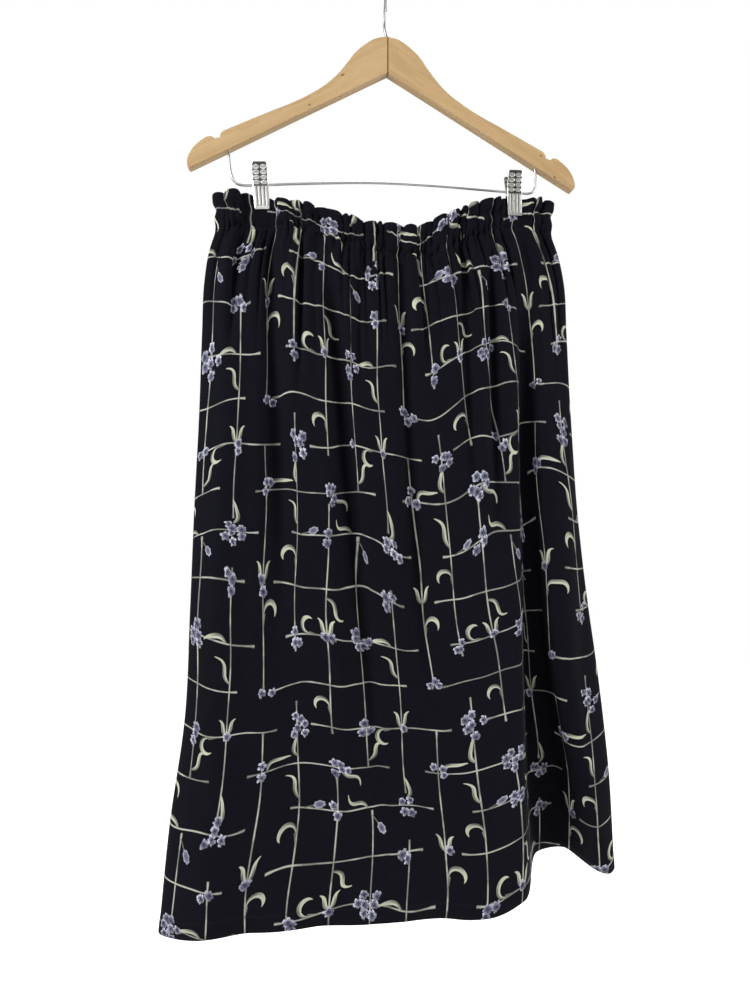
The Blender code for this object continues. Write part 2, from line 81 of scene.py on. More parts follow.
def new_material(name, roughness, metallic=0.0):
    """A material and its shader, with the plain numbers set on the shader itself."""
    made = bpy.data.materials.new(name)
    made.use_nodes = True
    shader = made.node_tree.nodes["Principled BSDF"]
    shader.inputs["Roughness"].default_value = roughness
    shader.inputs["Metallic"].default_value = metallic
    return made, made.node_tree, shader


def put(tree, kind, settings=None, *values, **inputs):
    """One shader node; its inputs, in order or by name, are set or joined to other nodes' sockets."""
    node = tree.nodes.new("ShaderNode" + kind)
    for key, value in (settings or {}).items():
        setattr(node, key, value)
    named = [(node.inputs[key.replace("_", " ")], value) for key, value in inputs.items()]
    for socket, value in [*zip(node.inputs, values), *named]:
        if isinstance(value, bpy.types.NodeSocket):
            tree.links.new(value, socket)
        else:
            socket.default_value = value
    return node


def layer(tree, under, over, cover, blend="MIX"):
    """One colour laid over another, as far as the cover says."""
    return put(tree, "MixRGB", {"blend_type": blend}, cover, under, over).outputs["Color"]


# white to the camera and pale walls in the metal; what it lends to the rest
# falls off downwards
world = bpy.data.worlds.new("white_room")
world.use_nodes = True
tree = world.node_tree
height = put(tree, "SeparateXYZ", Vector=put(tree, "TexCoord").outputs["Generated"]).outputs["Z"]
fall = put(tree, "MapRange", Value=height, From_Min=-0.5, From_Max=0.6, To_Min=0.04, To_Max=0.26)
path = put(tree, "LightPath")
walls = layer(tree, fall.outputs["Result"], (0.38, 0.38, 0.38, 1), path.outputs["Is Glossy Ray"], "ADD")
seen = layer(tree, walls, (1, 1, 1, 1), path.outputs["Is Camera Ray"])
tree.links.new(seen, tree.nodes["Background"].inputs["Color"])
bpy.context.scene.world = world

floor_mesh = bmesh.new()
bmesh.ops.create_circle(floor_mesh, cap_ends=True, segments=96, radius=FLOOR_RADIUS)
bmesh.ops.translate(floor_mesh, verts=floor_mesh.verts, vec=(0, 0, FLOOR_HEIGHT))
floor = bpy.data.objects.new("floor", bpy.data.meshes.new("floor"))
floor_mesh.to_mesh(floor.data)
floor_mesh.free()
bpy.context.scene.collection.objects.link(floor)
plaster, tree, shader = new_material("pale_plaster", 0.8)
spots = put(tree, "TexNoise", Vector=put(tree, "TexCoord").outputs["Object"], Scale=6.0, Detail=5.0)
tint = layer(tree, (0.86, 0.86, 0.85, 1), (0.92, 0.92, 0.91, 1), spots.outputs["Fac"])
tree.links.new(tint, shader.inputs["Base Color"])
# lit by the room beyond the lamps: white to the camera, and pale in the metal
path = put(tree, "LightPath")
mirrored = put(tree, "Math", {"operation": "MULTIPLY"}, path.outputs["Is Glossy Ray"], 0.45)
beyond = put(tree, "Math", {"operation": "MULTIPLY_ADD"}, path.outputs["Is Camera Ray"], 0.85,
             mirrored.outputs["Value"])
shader.inputs["Emission Color"].default_value = (1, 1, 1, 1)
tree.links.new(beyond.outputs["Value"], shader.inputs["Emission Strength"])
floor.data.materials.append(plaster)


# ================================================================ wooden arms
# Two flat arms of honey-coloured beech, each cut from 12 mm board, rounded over
# on the long edges and notched near the tip, glued end to end under clear lacquer.
ARM_THICK = 0.012
ARM_ROUND = 0.0022
ARM_SEAM = 0.00015           # half of the glue joint
ARM_SLOPE = math.radians(29.3)
# Outline from the seam out to the tip and back: distance from the middle,
# height, and whether the outline has a corner there
ARM_OUTLINE = [
    (0.0000, -0.0742, True),
    (0.0115, -0.0763, False),
    (0.0245, -0.0840, False),
    (0.0358, -0.0940, False),
    (0.0445, -0.1055, False),
    (0.0535, -0.1170, False),
    (0.0656, -0.1296, False),
    (0.0815, -0.1413, False),
    (0.1000, -0.1523, False),
    (0.1366, -0.1699, False),
    (0.1805, -0.1913, True),
    (0.1835, -0.1950, True),
    (0.1838, -0.1986, True),
    (0.1885, -0.2001, True),
    (0.1940, -0.1979, False),
    (0.2045, -0.2036, False),
    (0.2145, -0.2146, False),
    (0.2188, -0.2266, False),
    (0.2182, -0.2312, False),
    (0.2158, -0.2336, True),
    (0.0000, -0.1142, True),
]


def add_piece(name, mesh, finish):
    """A finished piece of the object, riding on its one body."""
    made = bpy.data.objects.new(name, mesh)
    bpy.context.scene.collection.objects.link(made)
    mesh.materials.append(finish)
    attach(made, "root")
    return made


def smooth_mesh(name, bm):
    """The mesh of a finished bmesh, shaded smooth."""
    mesh = bpy.data.meshes.new(name)
    bm.to_mesh(mesh)
    bm.free()
    mesh.shade_smooth()
    return mesh


def arm_outline():
    """The outline's points, read from a smooth closed curve with its corners kept."""
    curve = bpy.data.curves.new("arm_outline", "CURVE")
    curve.dimensions = "2D"
    curve.fill_mode = "NONE"
    curve.resolution_u = 7
    spline = curve.splines.new("BEZIER")
    spline.bezier_points.add(len(ARM_OUTLINE) - 1)
    spline.use_cyclic_u = True
    for point, (x, z, corner) in zip(spline.bezier_points, ARM_OUTLINE):
        point.co = (max(x, ARM_SEAM), z, 0)
        point.handle_left_type = point.handle_right_type = "VECTOR" if corner else "AUTO"
    guide = bpy.data.objects.new("arm_outline", curve)
    bpy.context.scene.collection.objects.link(guide)
    bpy.context.view_layer.update()
    flat = guide.to_mesh()
    points = [(v.co.x, v.co.y) for v in flat.vertices]
    guide.to_mesh_clear()
    bpy.data.objects.remove(guide)
    bpy.data.curves.remove(curve)
    return points


def arm_mesh(name, side):
    """One arm, sawn from its outline and rounded over along both faces' edges."""
    bm = bmesh.new()
    corners = [bm.verts.new((x, -ARM_THICK / 2, z)) for x, z in arm_outline()]
    bmesh.ops.remove_doubles(bm, verts=corners, dist=0.00003)
    face = bm.faces.new(bm.verts)
    grown = bmesh.ops.extrude_face_region(bm, geom=[face])
    moved = [item for item in grown["geom"] if isinstance(item, bmesh.types.BMVert)]
    bmesh.ops.translate(bm, verts=moved, vec=(0, ARM_THICK, 0))
    rims = [edge for edge in bm.edges
            if abs(edge.verts[0].co.y - edge.verts[1].co.y) < 1e-6
            and max(v.co.x for v in edge.verts) > 2 * ARM_SEAM]
    bmesh.ops.bevel(bm, geom=rims, offset=ARM_ROUND, segments=5, profile=0.5, affect="EDGES",
                    clamp_overlap=True, material=-1)
    if side == "left":
        bmesh.ops.scale(bm, verts=bm.verts, vec=(-1, 1, 1))
    bmesh.ops.remove_doubles(bm, verts=bm.verts, dist=0.00001)
    bmesh.ops.recalc_face_normals(bm, faces=bm.faces)
    mesh = smooth_mesh(name, bm)
    mesh.set_sharp_from_angle(angle=math.radians(50))
    return mesh


def new_group(name, inputs, outputs):
    """An empty node group, with the name and kind of each socket that it has."""
    group = bpy.data.node_groups.new(name, "ShaderNodeTree")
    for in_out, sockets in (("INPUT", inputs), ("OUTPUT", outputs)):
        for socket, kind in sockets.items():
            group.interface.new_socket(socket, in_out=in_out, socket_type="NodeSocket" + kind)
    return group, group.nodes.new("NodeGroupInput"), group.nodes.new("NodeGroupOutput")


def scuffs_group():
    """Fine scratches and rubbed patches, for lacquered wood and plated metal alike."""
    group, came, went = new_group("scuffs", {"Vector": "Vector", "Scale": "Float"},
                                  {"Scratch": "Float", "Rubbed": "Float"})
    vector, scale = came.outputs["Vector"], came.outputs["Scale"]
    bend = put(group, "TexNoise", Vector=vector, Scale=scale, Detail=2.0)
    bent = layer(group, vector, bend.outputs["Color"], 0.02, "LINEAR_LIGHT")
    cracks = put(group, "TexVoronoi", {"feature": "DISTANCE_TO_EDGE"}, Vector=bent, Scale=scale,
                 Randomness=1.0)
    thin = put(group, "MapRange", Value=cracks.outputs["Distance"], From_Max=0.02, To_Min=1.0, To_Max=0.0)
    patches = put(group, "TexNoise", Vector=vector, Scale=scale, Detail=4.0)
    few = put(group, "MapRange", Value=patches.outputs["Fac"], From_Min=0.54, From_Max=0.66)
    both = put(group, "Math", {"operation": "MULTIPLY"}, thin.outputs["Result"], few.outputs["Result"])
    group.links.new(both.outputs["Value"], went.inputs["Scratch"])
    group.links.new(few.outputs["Result"], went.inputs["Rubbed"])
    return group


scuffs = scuffs_group()


def ramp(tree, value, stops):
    """A colour ramp through (place, colour) stops."""
    node = put(tree, "ValToRGB", Fac=value)
    while len(node.color_ramp.elements) < len(stops):
        node.color_ramp.elements.new(1.0)
    for element, (place, colour) in zip(node.color_ramp.elements, stops):
        element.position = place
        element.color = (*colour, 1.0)
    return node.outputs["Color"]


def beech(name, slope):
    """Lacquered beech whose grain runs down an arm's slope."""
    made, tree, shader = new_material(name, 0.34)
    shader.inputs["Coat Weight"].default_value = 0.18
    shader.inputs["Coat Roughness"].default_value = 0.22
    shader.inputs["Specular IOR Level"].default_value = 0.30
    spot = put(tree, "TexCoord").outputs["Object"]
    along = put(tree, "Mapping", Vector=spot, Rotation=(0, slope, 0)).outputs["Vector"]

    def drawn(lengthwise, crosswise):
        """The wood's own measure, drawn out along the grain."""
        return put(tree, "Mapping", Vector=along, Scale=(lengthwise, crosswise, crosswise)).outputs["Vector"]

    figure = put(tree, "TexNoise", Vector=drawn(5.0, 60.0), Scale=1.6, Detail=5.0, Roughness=0.55,
                 Distortion=0.6)
    fibres = put(tree, "TexNoise", Vector=drawn(60.0, 1500.0), Scale=1.0, Detail=3.0)
    flecks = put(tree, "TexVoronoi", Vector=drawn(160.0, 900.0), Scale=1.0)
    knocks = put(tree, "TexVoronoi", Vector=drawn(38.0, 62.0), Scale=1.0)
    wood = ramp(tree, figure.outputs["Fac"], [(0.25, (0.425, 0.272, 0.122)), (0.5, (0.520, 0.352, 0.172)),
                                              (0.75, (0.595, 0.420, 0.222))])
    fleck = ramp(tree, flecks.outputs["Distance"], [(0.0, (0.72, 0.62, 0.52)), (0.16, (1, 1, 1))])
    fibre = ramp(tree, fibres.outputs["Fac"], [(0.3, (0.84, 0.82, 0.80)), (0.7, (1, 1, 1))])
    knock = ramp(tree, knocks.outputs["Distance"], [(0.045, (0.36, 0.28, 0.21)), (0.095, (1, 1, 1))])
    for mark, strength in ((fleck, 0.5), (fibre, 0.8), (knock, 0.9)):
        wood = layer(tree, wood, mark, strength, "MULTIPLY")
    worn = put(tree, "Group", {"node_tree": scuffs}, Vector=along, Scale=45.0)
    wood = layer(tree, wood, (0.40, 0.25, 0.13, 1), worn.outputs["Scratch"])
    # the glue joint shows as a dark red-brown line
    across = put(tree, "SeparateXYZ", Vector=spot).outputs["X"]
    near = put(tree, "Math", {"operation": "ABSOLUTE"}, across).outputs["Value"]
    joint = put(tree, "MapRange", Value=near, From_Min=0.0004, From_Max=0.0011, To_Min=0.85, To_Max=0.0)
    wood = layer(tree, wood, (0.12, 0.035, 0.02, 1), joint.outputs["Result"])
    tree.links.new(wood, shader.inputs["Base Color"])
    gloss = put(tree, "MapRange", Value=worn.outputs["Rubbed"], To_Min=0.30, To_Max=0.48)
    tree.links.new(gloss.outputs["Result"], shader.inputs["Roughness"])
    relief = put(tree, "Bump", Height=fibres.outputs["Fac"], Strength=0.10, Distance=0.0002)
    tree.links.new(relief.outputs["Normal"], shader.inputs["Normal"])
    return made


for side, turn in (("left", ARM_SLOPE), ("right", -ARM_SLOPE)):
    name = "wooden_arm_" + side
    arm = add_piece(name, arm_mesh(name, side), beech("beech_" + side, turn))
    even = arm.modifiers.new("even_shading", "WEIGHTED_NORMAL")
    even.keep_sharp = True
    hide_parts("hanger_arm_" + side)


# ================================================================ hook and clip bar
# Both are 2.8 mm zinc-plated wire. The hook goes down into the arms' joint, and
# the bar is one length bent square at each end and pushed up into the arms.
WIRE_RADIUS = 0.0014
HOOK_INSIDE = 0.019
STEM_FOOT = -0.096
STEM_BEND = -0.075
STEM_TOP = -0.060
HOOK_LEAN, TIP_LEAN = -0.0032, 0.0014
HOOK_START = math.radians(-48)
HOOK_END = math.radians(212)
SWING_PULL = 0.010           # how far the stem runs straight on before it swings over
STEM_STEPS, SWING_STEPS, TURN_POINTS, BAR_STEPS = 12, 16, 61, 12
BAR_ROUTE = [
    (-0.1746, -0.2021),
    (-0.1744, -0.2190),
    (-0.1728, -0.2330),
    (-0.1690, -0.2425),
    (-0.1610, -0.2468),
    (-0.1400, -0.2458),
    (-0.0950, -0.2415),
    (-0.0193, -0.2362),
    (0.0500, -0.2354),
    (0.1076, -0.2366),
    (0.1474, -0.2378),
    (0.1645, -0.2378),
    (0.1715, -0.2340),
    (0.1732, -0.2270),
    (0.1731, -0.2013),
]


def smooth_route(points, steps):
    """Points read from a smooth curve through the route's own points."""
    points = [Vector(p) for p in points]
    ends = [points[0]] + points + [points[-1]]
    route = []
    for a, b, c, d in zip(ends, ends[1:], ends[2:], ends[3:]):
        for step in range(steps):
            t = step / steps
            route.append(0.5 * (2 * b + (c - a) * t + (2 * a - 5 * b + 4 * c - d) * t * t
                                + (3 * b - a - 3 * c + d) * t ** 3))
    return route + [points[-1]]


def ease(t):
    """A soft step from 0 to 1."""
    t = np.clip(t, 0.0, 1.0)
    return t * t * (3 - 2 * t)


def hook_route():
    """Stem, swing and turn of the hook, seen end on from the hanger's front."""
    radius = HOOK_INSIDE + WIRE_RADIUS
    start = Vector((0, -radius * math.cos(HOOK_START), radius * math.sin(HOOK_START) - HOOK_INSIDE))
    heading = Vector((0, math.sin(HOOK_START), math.cos(HOOK_START)))
    route = [Vector((0, 0, z)) for z in (STEM_FOOT, *np.linspace(STEM_BEND, STEM_TOP, STEM_STEPS)[:-1])]
    ends = [Vector((0, 0, STEM_TOP)), Vector((0, 0, STEM_TOP + SWING_PULL)), start - SWING_PULL * heading,
            start]
    for step in range(SWING_STEPS):
        t = step / SWING_STEPS
        route.append((1 - t) ** 3 * ends[0] + 3 * t * (1 - t) ** 2 * ends[1]
                     + 3 * t * t * (1 - t) * ends[2] + t ** 3 * ends[3])
    for point in route:
        point.x = HOOK_LEAN * ease((point.z - STEM_BEND) / (STEM_TOP - STEM_BEND))
    for angle in np.linspace(HOOK_START, HOOK_END, TURN_POINTS):
        lean = (HOOK_LEAN * (1 - ease((angle - HOOK_START) / (math.pi / 2 - HOOK_START)))
                + TIP_LEAN * ease((angle - math.pi / 2) / (HOOK_END - math.pi / 2)))
        route.append(Vector((lean, -radius * math.cos(angle), radius * math.sin(angle) - HOOK_INSIDE)))
    return route


def wire(name, route, finish, rounded_tip=False):
    """Round wire along a route; its last millimetre can be filed round."""
    curve = bpy.data.curves.new(name, "CURVE")
    curve.dimensions = "3D"
    curve.bevel_depth = WIRE_RADIUS
    curve.bevel_resolution = 5
    curve.use_fill_caps = True
    spline = curve.splines.new("POLY")
    tip = []
    if rounded_tip:
        ahead = (route[-1] - route[-2]).normalized()
        tip = [(route[-1] + ahead * WIRE_RADIUS * (math.sin(a) - 1), math.cos(a))
               for a in np.linspace(0, 0.46 * math.pi, 6)]
        route = [p for p in route[:-1] if (p - route[-1]).length > WIRE_RADIUS]
    spline.points.add(len(route) + len(tip) - 1)
    for point, place in zip(spline.points, route):
        point.co = (*place, 1.0)
    for point, (place, thick) in zip(spline.points[len(route):], tip):
        point.co = (*place, 1.0)
        point.radius = thick
    spline.use_smooth = True
    return add_piece(name, curve, finish)


def plated_steel(name, colour, dull, roughness, scale, hollows=None):
    """Zinc or nickel plating, a little clouded, with scratches, rubbed spots and painted shade in its
    hollows.
    """
    made, tree, shader = new_material(name, roughness, 1.0)
    spot = put(tree, "TexCoord").outputs["Object"]
    cloud = put(tree, "TexNoise", Vector=spot, Scale=scale * 4, Detail=5.0)
    worn = put(tree, "Group", {"node_tree": scuffs}, Vector=spot, Scale=scale * 6)
    tone = layer(tree, (*colour, 1), (*dull, 1), cloud.outputs["Fac"])
    tone = layer(tree, tone, (0.55, 0.54, 0.52, 1), worn.outputs["Scratch"], "MULTIPLY")
    if hollows:
        # painted shade: the flats between ribs and dimples are darkened, the raised parts and edges left
        # light
        raised = put(tree, "Attribute", {"attribute_name": hollows}).outputs["Fac"]
        hollow_shade = ramp(tree, raised, [(0.0, (0.16, 0.16, 0.155)), (0.22, (0.40, 0.40, 0.39)),
                                      (0.5, (1, 1, 1))])
        tone = layer(tree, tone, hollow_shade, 1.0, "MULTIPLY")
    tree.links.new(tone, shader.inputs["Base Color"])
    rough = put(tree, "MapRange", Value=worn.outputs["Rubbed"], To_Min=roughness, To_Max=roughness + 0.16)
    tree.links.new(rough.outputs["Result"], shader.inputs["Roughness"])
    grain = put(tree, "TexNoise", Vector=spot, Scale=scale * 30, Detail=3.0)
    relief = put(tree, "Bump", Height=grain.outputs["Fac"], Strength=0.03, Distance=0.0001)
    tree.links.new(relief.outputs["Normal"], shader.inputs["Normal"])
    return made


zinc = plated_steel("zinc_plate", (0.50, 0.50, 0.51), (0.38, 0.38, 0.39), 0.32, 40.0)
# the hook takes a darker copy of the same zinc: painted shade
painted_shade_zinc = plated_steel("zinc_plate_painted_shade", (0.33, 0.33, 0.34), (0.25, 0.25, 0.26), 0.34, 40.0)
hook = wire("wire_hook", hook_route(), painted_shade_zinc, rounded_tip=True)
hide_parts("hook")
bar_line = smooth_route([(x, 0, z) for x, z in BAR_ROUTE], BAR_STEPS)
bar = wire("wire_clip_bar", bar_line, zinc)
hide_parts("clip_bar")


# ================================================================ clips
# Each clip is two nickel-plated pressings on a coil spring that rides on the
# bar: four stiffening ribs down the jaw, two columns of dimples for the fingers.
# Clips: name, place along the bar, lean to the right at the foot in degrees
CLIPS = [
    ("left", -0.1405, 4.0),
    ("right", 0.1474, 1.5),
]
PLATE_THICK = 0.0008
# Pressing: height above the bar, distance of its middle surface from the
# hanger's plane, half of its width
CLIP_PLATE = [
    (-0.0275, 0.0038, 0.0074),
    (-0.0262, 0.0032, 0.0078),
    (-0.0240, 0.00296, 0.0080),
    (-0.0150, 0.00300, 0.0081),
    (-0.0080, 0.0032, 0.0082),
    (0.0000, 0.0036, 0.0083),
    (0.0090, 0.0052, 0.0083),
    (0.0170, 0.0076, 0.0083),
    (0.0205, 0.0086, 0.0079),
    (0.0220, 0.0092, 0.0066),
]
PRESS_HEIGHT = 0.00042       # of ribs and dimples
RIBS, RIB_FOOT, RIB_TOP = 4, -0.0245, -0.0020
DIMPLE_ROWS, DIMPLE_FOOT, DIMPLE_TOP = 4, -0.0008, 0.0196
PRESSED_SHARE = 0.86         # of the blank's half width, with ribs and dimples
FLAT_SHARE = 0.88            # of the blank's half width, before its edge turns back
ROLL_DEPTH = 0.0007
PLATE_CLEAR = 0.0006         # kept free at the hanger's plane
EAR_DEPTH, EAR_HALF = 0.0030, 0.0062
BAR_CORNER = 0.165           # the bar's bends lie farther from the middle than this
COIL_RADIUS, COIL_WIRE, COIL_TURNS, COIL_LENGTH = 0.0029, 0.0005, 7, 0.0085
COIL_STEPS = 20 * COIL_TURNS


def bar_height(x):
    """Height of the bar's axis at this distance from the middle."""
    flat = [p for p in bar_line if abs(p.x) < BAR_CORNER]
    return float(np.interp(x, [p.x for p in flat], [p.z for p in flat]))


def pressed(across, z):
    """Height of the ribs and dimples at a place on the plate; across runs from -1 to 1."""
    inside = float(ease((PRESSED_SHARE - abs(across)) / 0.08))
    rib = 0.5 + 0.5 * math.cos(math.pi * (RIBS * (across / PRESSED_SHARE + 1) - 1))
    rib *= float(ease((z - RIB_FOOT) / 0.0012) * ease((RIB_TOP - z) / 0.0012))
    row = (z - DIMPLE_FOOT) / (DIMPLE_TOP - DIMPLE_FOOT) * DIMPLE_ROWS
    dimple = 0.0
    if 0 < row < DIMPLE_ROWS:
        off_row = 2 * (row % 1) - 1
        off_column = 2 * (abs(across) / PRESSED_SHARE) - 1
        dimple = float(ease(1.35 * (1 - off_row ** 2 * 1.1 - off_column ** 2)))
    return PRESS_HEIGHT * inside * max(rib, dimple)


def clip_plate(name, facing, place, finish):
    """One pressing, shaped from a flat grid; facing is -1 in front and 1 behind."""
    table = np.array(CLIP_PLATE)
    bm = bmesh.new()
    bmesh.ops.create_grid(bm, x_segments=44, y_segments=110, size=1.0)
    raised = bm.verts.layers.float.new("raised")
    for vert in bm.verts:
        z = table[0, 0] + (table[-1, 0] - table[0, 0]) * (vert.co.y + 1) / 2
        off, half = (float(np.interp(z, table[:, 0], table[:, k])) for k in (1, 2))
        across = vert.co.x / FLAT_SHARE
        # how raised each point is, which the plating reads to paint shade into the low flats
        vert[raised] = max(pressed(vert.co.x, z) / PRESS_HEIGHT, float(ease((abs(vert.co.x) - 0.80) / 0.05)),
                           float(z < RIB_FOOT + 0.0006))
        out = off + pressed(vert.co.x, z)
        if abs(across) > 1:
            # the last columns turn back as a rolled edge, and as ears at the spring
            turned = (abs(across) - 1) / (1 / FLAT_SHARE - 1)
            ear = EAR_DEPTH * float(ease((EAR_HALF - abs(z)) / 0.003))
            out = off - turned * min(max(ROLL_DEPTH, ear), off - PLATE_CLEAR)
            across = math.copysign(1, across)
        vert.co = (across * half, facing * out, z)
    if facing > 0:
        bmesh.ops.reverse_faces(bm, faces=bm.faces)
    bm.transform(place)
    plate = add_piece(name, smooth_mesh(name, bm), finish)
    thick = plate.modifiers.new("sheet_steel", "SOLIDIFY")
    thick.thickness = PLATE_THICK
    thick.offset = 0.0
    return plate


def coil_spring(name, place, finish):
    """A coil round the bar, swept from one circle of wire."""
    bm = bmesh.new()
    bmesh.ops.create_circle(bm, segments=10, radius=COIL_WIRE, cap_ends=False)
    bmesh.ops.translate(bm, verts=bm.verts, vec=(-COIL_LENGTH / 2, COIL_RADIUS, 0))
    bmesh.ops.spin(bm, geom=bm.verts[:] + bm.edges[:], cent=(0, 0, 0), axis=(1, 0, 0), space=Matrix(),
                   angle=2 * math.pi * COIL_TURNS, steps=COIL_STEPS, dvec=(COIL_LENGTH / COIL_STEPS, 0, 0),
                   use_duplicate=False)
    bmesh.ops.holes_fill(bm, edges=[e for e in bm.edges if e.is_boundary], sides=12)
    bmesh.ops.recalc_face_normals(bm, faces=bm.faces)
    bm.transform(place)
    return add_piece(name, smooth_mesh(name, bm), finish)


# both clips are one nickel: the left clip's is a lighter copy, a painted highlight, and the right clip's a
# darker copy, painted shade
nickel = {}
for side, painted_tone, colour, dull, roughness in (
        ("left", "bright", (0.82, 0.81, 0.79), (0.68, 0.67, 0.65), 0.28),
        ("right", "dull", (0.54, 0.53, 0.505), (0.45, 0.44, 0.42), 0.30)):
    nickel[side] = plated_steel("nickel_plate_" + painted_tone, colour, dull, roughness, 60.0, hollows="raised")
for side, x, lean in CLIPS:
    place = Matrix.Translation((x, 0, bar_height(x))) @ Matrix.Rotation(math.radians(-lean), 4, "Y")
    for facing, end in ((-1, "front"), (1, "back")):
        plate = clip_plate("pressed_clip_%s_%s" % (side, end), facing, place, nickel[side])
        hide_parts("clip_%s_%s" % (side, end))
    spring = coil_spring("coil_spring_" + side, place, zinc)
    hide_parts("clip_%s_spring" % side)


# ================================================================ the skirt's cloth
# Two widths of printed viscose, front and back, seamed at the sides. The top of
# each is turned over into a casing for flat elastic, with a frill of its own cloth
# left standing above it, and the foot is turned up and stitched.
SEAM_GAP = 0.0003
CASING_THICK = 0.0020        # doubled cloth over elastic
CLOTH_THICK = 0.0007
CASING_HEIGHT = 0.0375       # frill included
PANEL_LENGTH = 0.742
CUT_WIDTH = 0.620            # of each panel before it was gathered
HEM_TURN = 0.018
WAVES = 26                   # gathers along each panel
COLUMNS_PER_WAVE = 12
GATHER_LIMIT = 0.6
PLAN_POINTS = 1201
SIDE_ROUNDNESS = 0.7
JAW_FLAT = 0.0105            # half width of cloth held flat by a clip
JAW_FADE = 0.030             # and how far its pull shows
JAW_SHIFT = 0.0010
# Plan at each level: share of the way down, left side, right side, the sides' y,
# and the front's and the back's depth from the line between them
SECTIONS = [
    (0.00, -0.1885, 0.1915, 0.000, 0.000, 0.017, 0.017),
    (0.03, -0.1955, 0.1995, 0.000, 0.000, 0.020, 0.020),
    (0.07, -0.2002, 0.2062, 0.000, 0.001, 0.024, 0.025),
    (0.15, -0.2028, 0.2105, -0.001, 0.003, 0.029, 0.031),
    (0.27, -0.2057, 0.2165, -0.003, 0.007, 0.034, 0.037),
    (0.40, -0.2105, 0.2245, -0.004, 0.011, 0.038, 0.041),
    (0.55, -0.2148, 0.2385, -0.006, 0.015, 0.041, 0.044),
    (0.70, -0.2200, 0.2565, -0.007, 0.019, 0.042, 0.045),
    (0.85, -0.2355, 0.2710, -0.009, 0.023, 0.043, 0.045),
    (1.00, -0.2465, 0.2785, -0.010, 0.025, 0.043, 0.044),
]
# Folds, pressed in where the depth is positive and swelling out where it is
# negative: places and half widths at waist and hem, depths at the waist, at
# MIDDLE and at the hem, the level share of the width, where it has died, and
# how late it leaves its place at the waist (1 is a straight run to the hem)
MIDDLE = 0.40
FADE = 0.22
Fold = namedtuple("Fold", "x_waist x_hem waist middle hem half_waist half_hem flat reach bend",
                  defaults=(1.0,))
FRONT_FOLDS = [
    Fold(-0.163, -0.176, 0.0040, 0.0010, 0.0000, 0.013, 0.020, 0.0, 0.30),
    Fold(-0.130, -0.112, 0.0060, 0.0085, 0.0000, 0.015, 0.034, 0.0, 0.75),
    Fold(-0.098, -0.090, 0.0030, 0.0000, 0.0000, 0.010, 0.016, 0.0, 0.26),
    Fold(-0.070, -0.010, 0.0035, 0.0125, 0.0000, 0.014, 0.040, 0.1, 0.95),
    Fold(0.010, 0.046, 0.0040, 0.0080, 0.0000, 0.013, 0.034, 0.0, 0.88),
    Fold(0.041, 0.050, 0.0040, 0.0010, 0.0000, 0.011, 0.018, 0.0, 0.35),
    Fold(0.082, 0.105, 0.0040, 0.0040, 0.0000, 0.013, 0.026, 0.0, 0.62),
    Fold(0.118, 0.122, 0.0045, 0.0080, 0.0000, 0.014, 0.024, 0.0, 0.60),
    Fold(0.158, 0.209, 0.0060, 0.0210, 0.0570, 0.016, 0.060, 0.3, 9.00, 2.5),
    Fold(0.178, 0.250, 0.0030, 0.0010, 0.0000, 0.010, 0.020, 0.0, 0.30),
    Fold(-0.168, -0.196, -0.0020, -0.0070, -0.0095, 0.016, 0.046, 0.0, 9.00),
    Fold(0.100, 0.128, -0.0010, -0.0050, -0.0085, 0.030, 0.070, 0.2, 9.00),
    Fold(-0.010, 0.000, 0.0000, 0.0020, 0.0060, 0.050, 0.100, 0.2, 9.00),
]
BACK_FOLDS = [
    Fold(-0.150, -0.182, 0.0040, 0.0060, 0.0060, 0.014, 0.034, 0.0, 9.00),
    Fold(-0.096, -0.118, 0.0045, 0.0180, 0.0330, 0.016, 0.046, 0.1, 9.00),
    Fold(-0.050, -0.052, 0.0040, 0.0020, 0.0000, 0.012, 0.022, 0.0, 0.45),
    Fold(-0.010, -0.022, 0.0035, 0.0100, 0.0180, 0.014, 0.038, 0.0, 9.00),
    Fold(0.030, 0.040, 0.0040, 0.0070, 0.0000, 0.012, 0.028, 0.0, 0.70),
    Fold(0.080, 0.092, 0.0050, 0.0150, 0.0260, 0.016, 0.042, 0.1, 9.00),
    Fold(0.120, 0.140, 0.0035, 0.0010, 0.0000, 0.012, 0.020, 0.0, 0.35),
    Fold(-0.060, -0.070, -0.0020, -0.0060, -0.0120, 0.018, 0.040, 0.0, 9.00),
    Fold(0.160, 0.205, -0.0020, -0.0080, -0.0170, 0.022, 0.062, 0.2, 9.00),
]
# Waist: place along it, height of the frill's edge, height of the casing's foot
WAIST_LINE = [
    (-0.200, -0.2625, -0.3000),
    (-0.170, -0.2575, -0.2980),
    (-0.139, -0.2598, -0.2955),
    (-0.110, -0.2652, -0.2950),
    (-0.080, -0.2715, -0.3015),
    (-0.045, -0.2810, -0.3110),
    (-0.020, -0.2868, -0.3180),
    (0.010, -0.2872, -0.3215),
    (0.030, -0.2885, -0.3225),
    (0.055, -0.2770, -0.3155),
    (0.085, -0.2640, -0.3030),
    (0.115, -0.2520, -0.2885),
    (0.148, -0.2455, -0.2810),
    (0.170, -0.2458, -0.2835),
    (0.200, -0.2510, -0.2890),
]
# Height of the gathers and of the elastic's fine ribs: share of the way down,
# or up the casing where it is negative
GATHERS = [
    (-1.00, 0.0042, 0.00030),
    (-0.80, 0.0036, 0.00050),
    (-0.60, 0.0022, 0.00110),
    (-0.30, 0.0026, 0.00140),
    (0.00, 0.0022, 0.00130),
    (0.02, 0.0036, 0.00090),
    (0.05, 0.0036, 0.00050),
    (0.10, 0.0028, 0.00020),
    (0.18, 0.0015, 0.00000),
    (0.30, 0.0003, 0.00000),
    (1.00, 0.0000, 0.00000),
]
# Share of the cloth that is tucked into the valleys between gathers, down the panel
TUCKED = [
    (-1.00, 0.42),
    (0.03, 0.42),
    (0.12, 0.20),
    (0.26, 0.00),
    (1.00, 0.00),
]
FRILL_LIFT = 0.0014
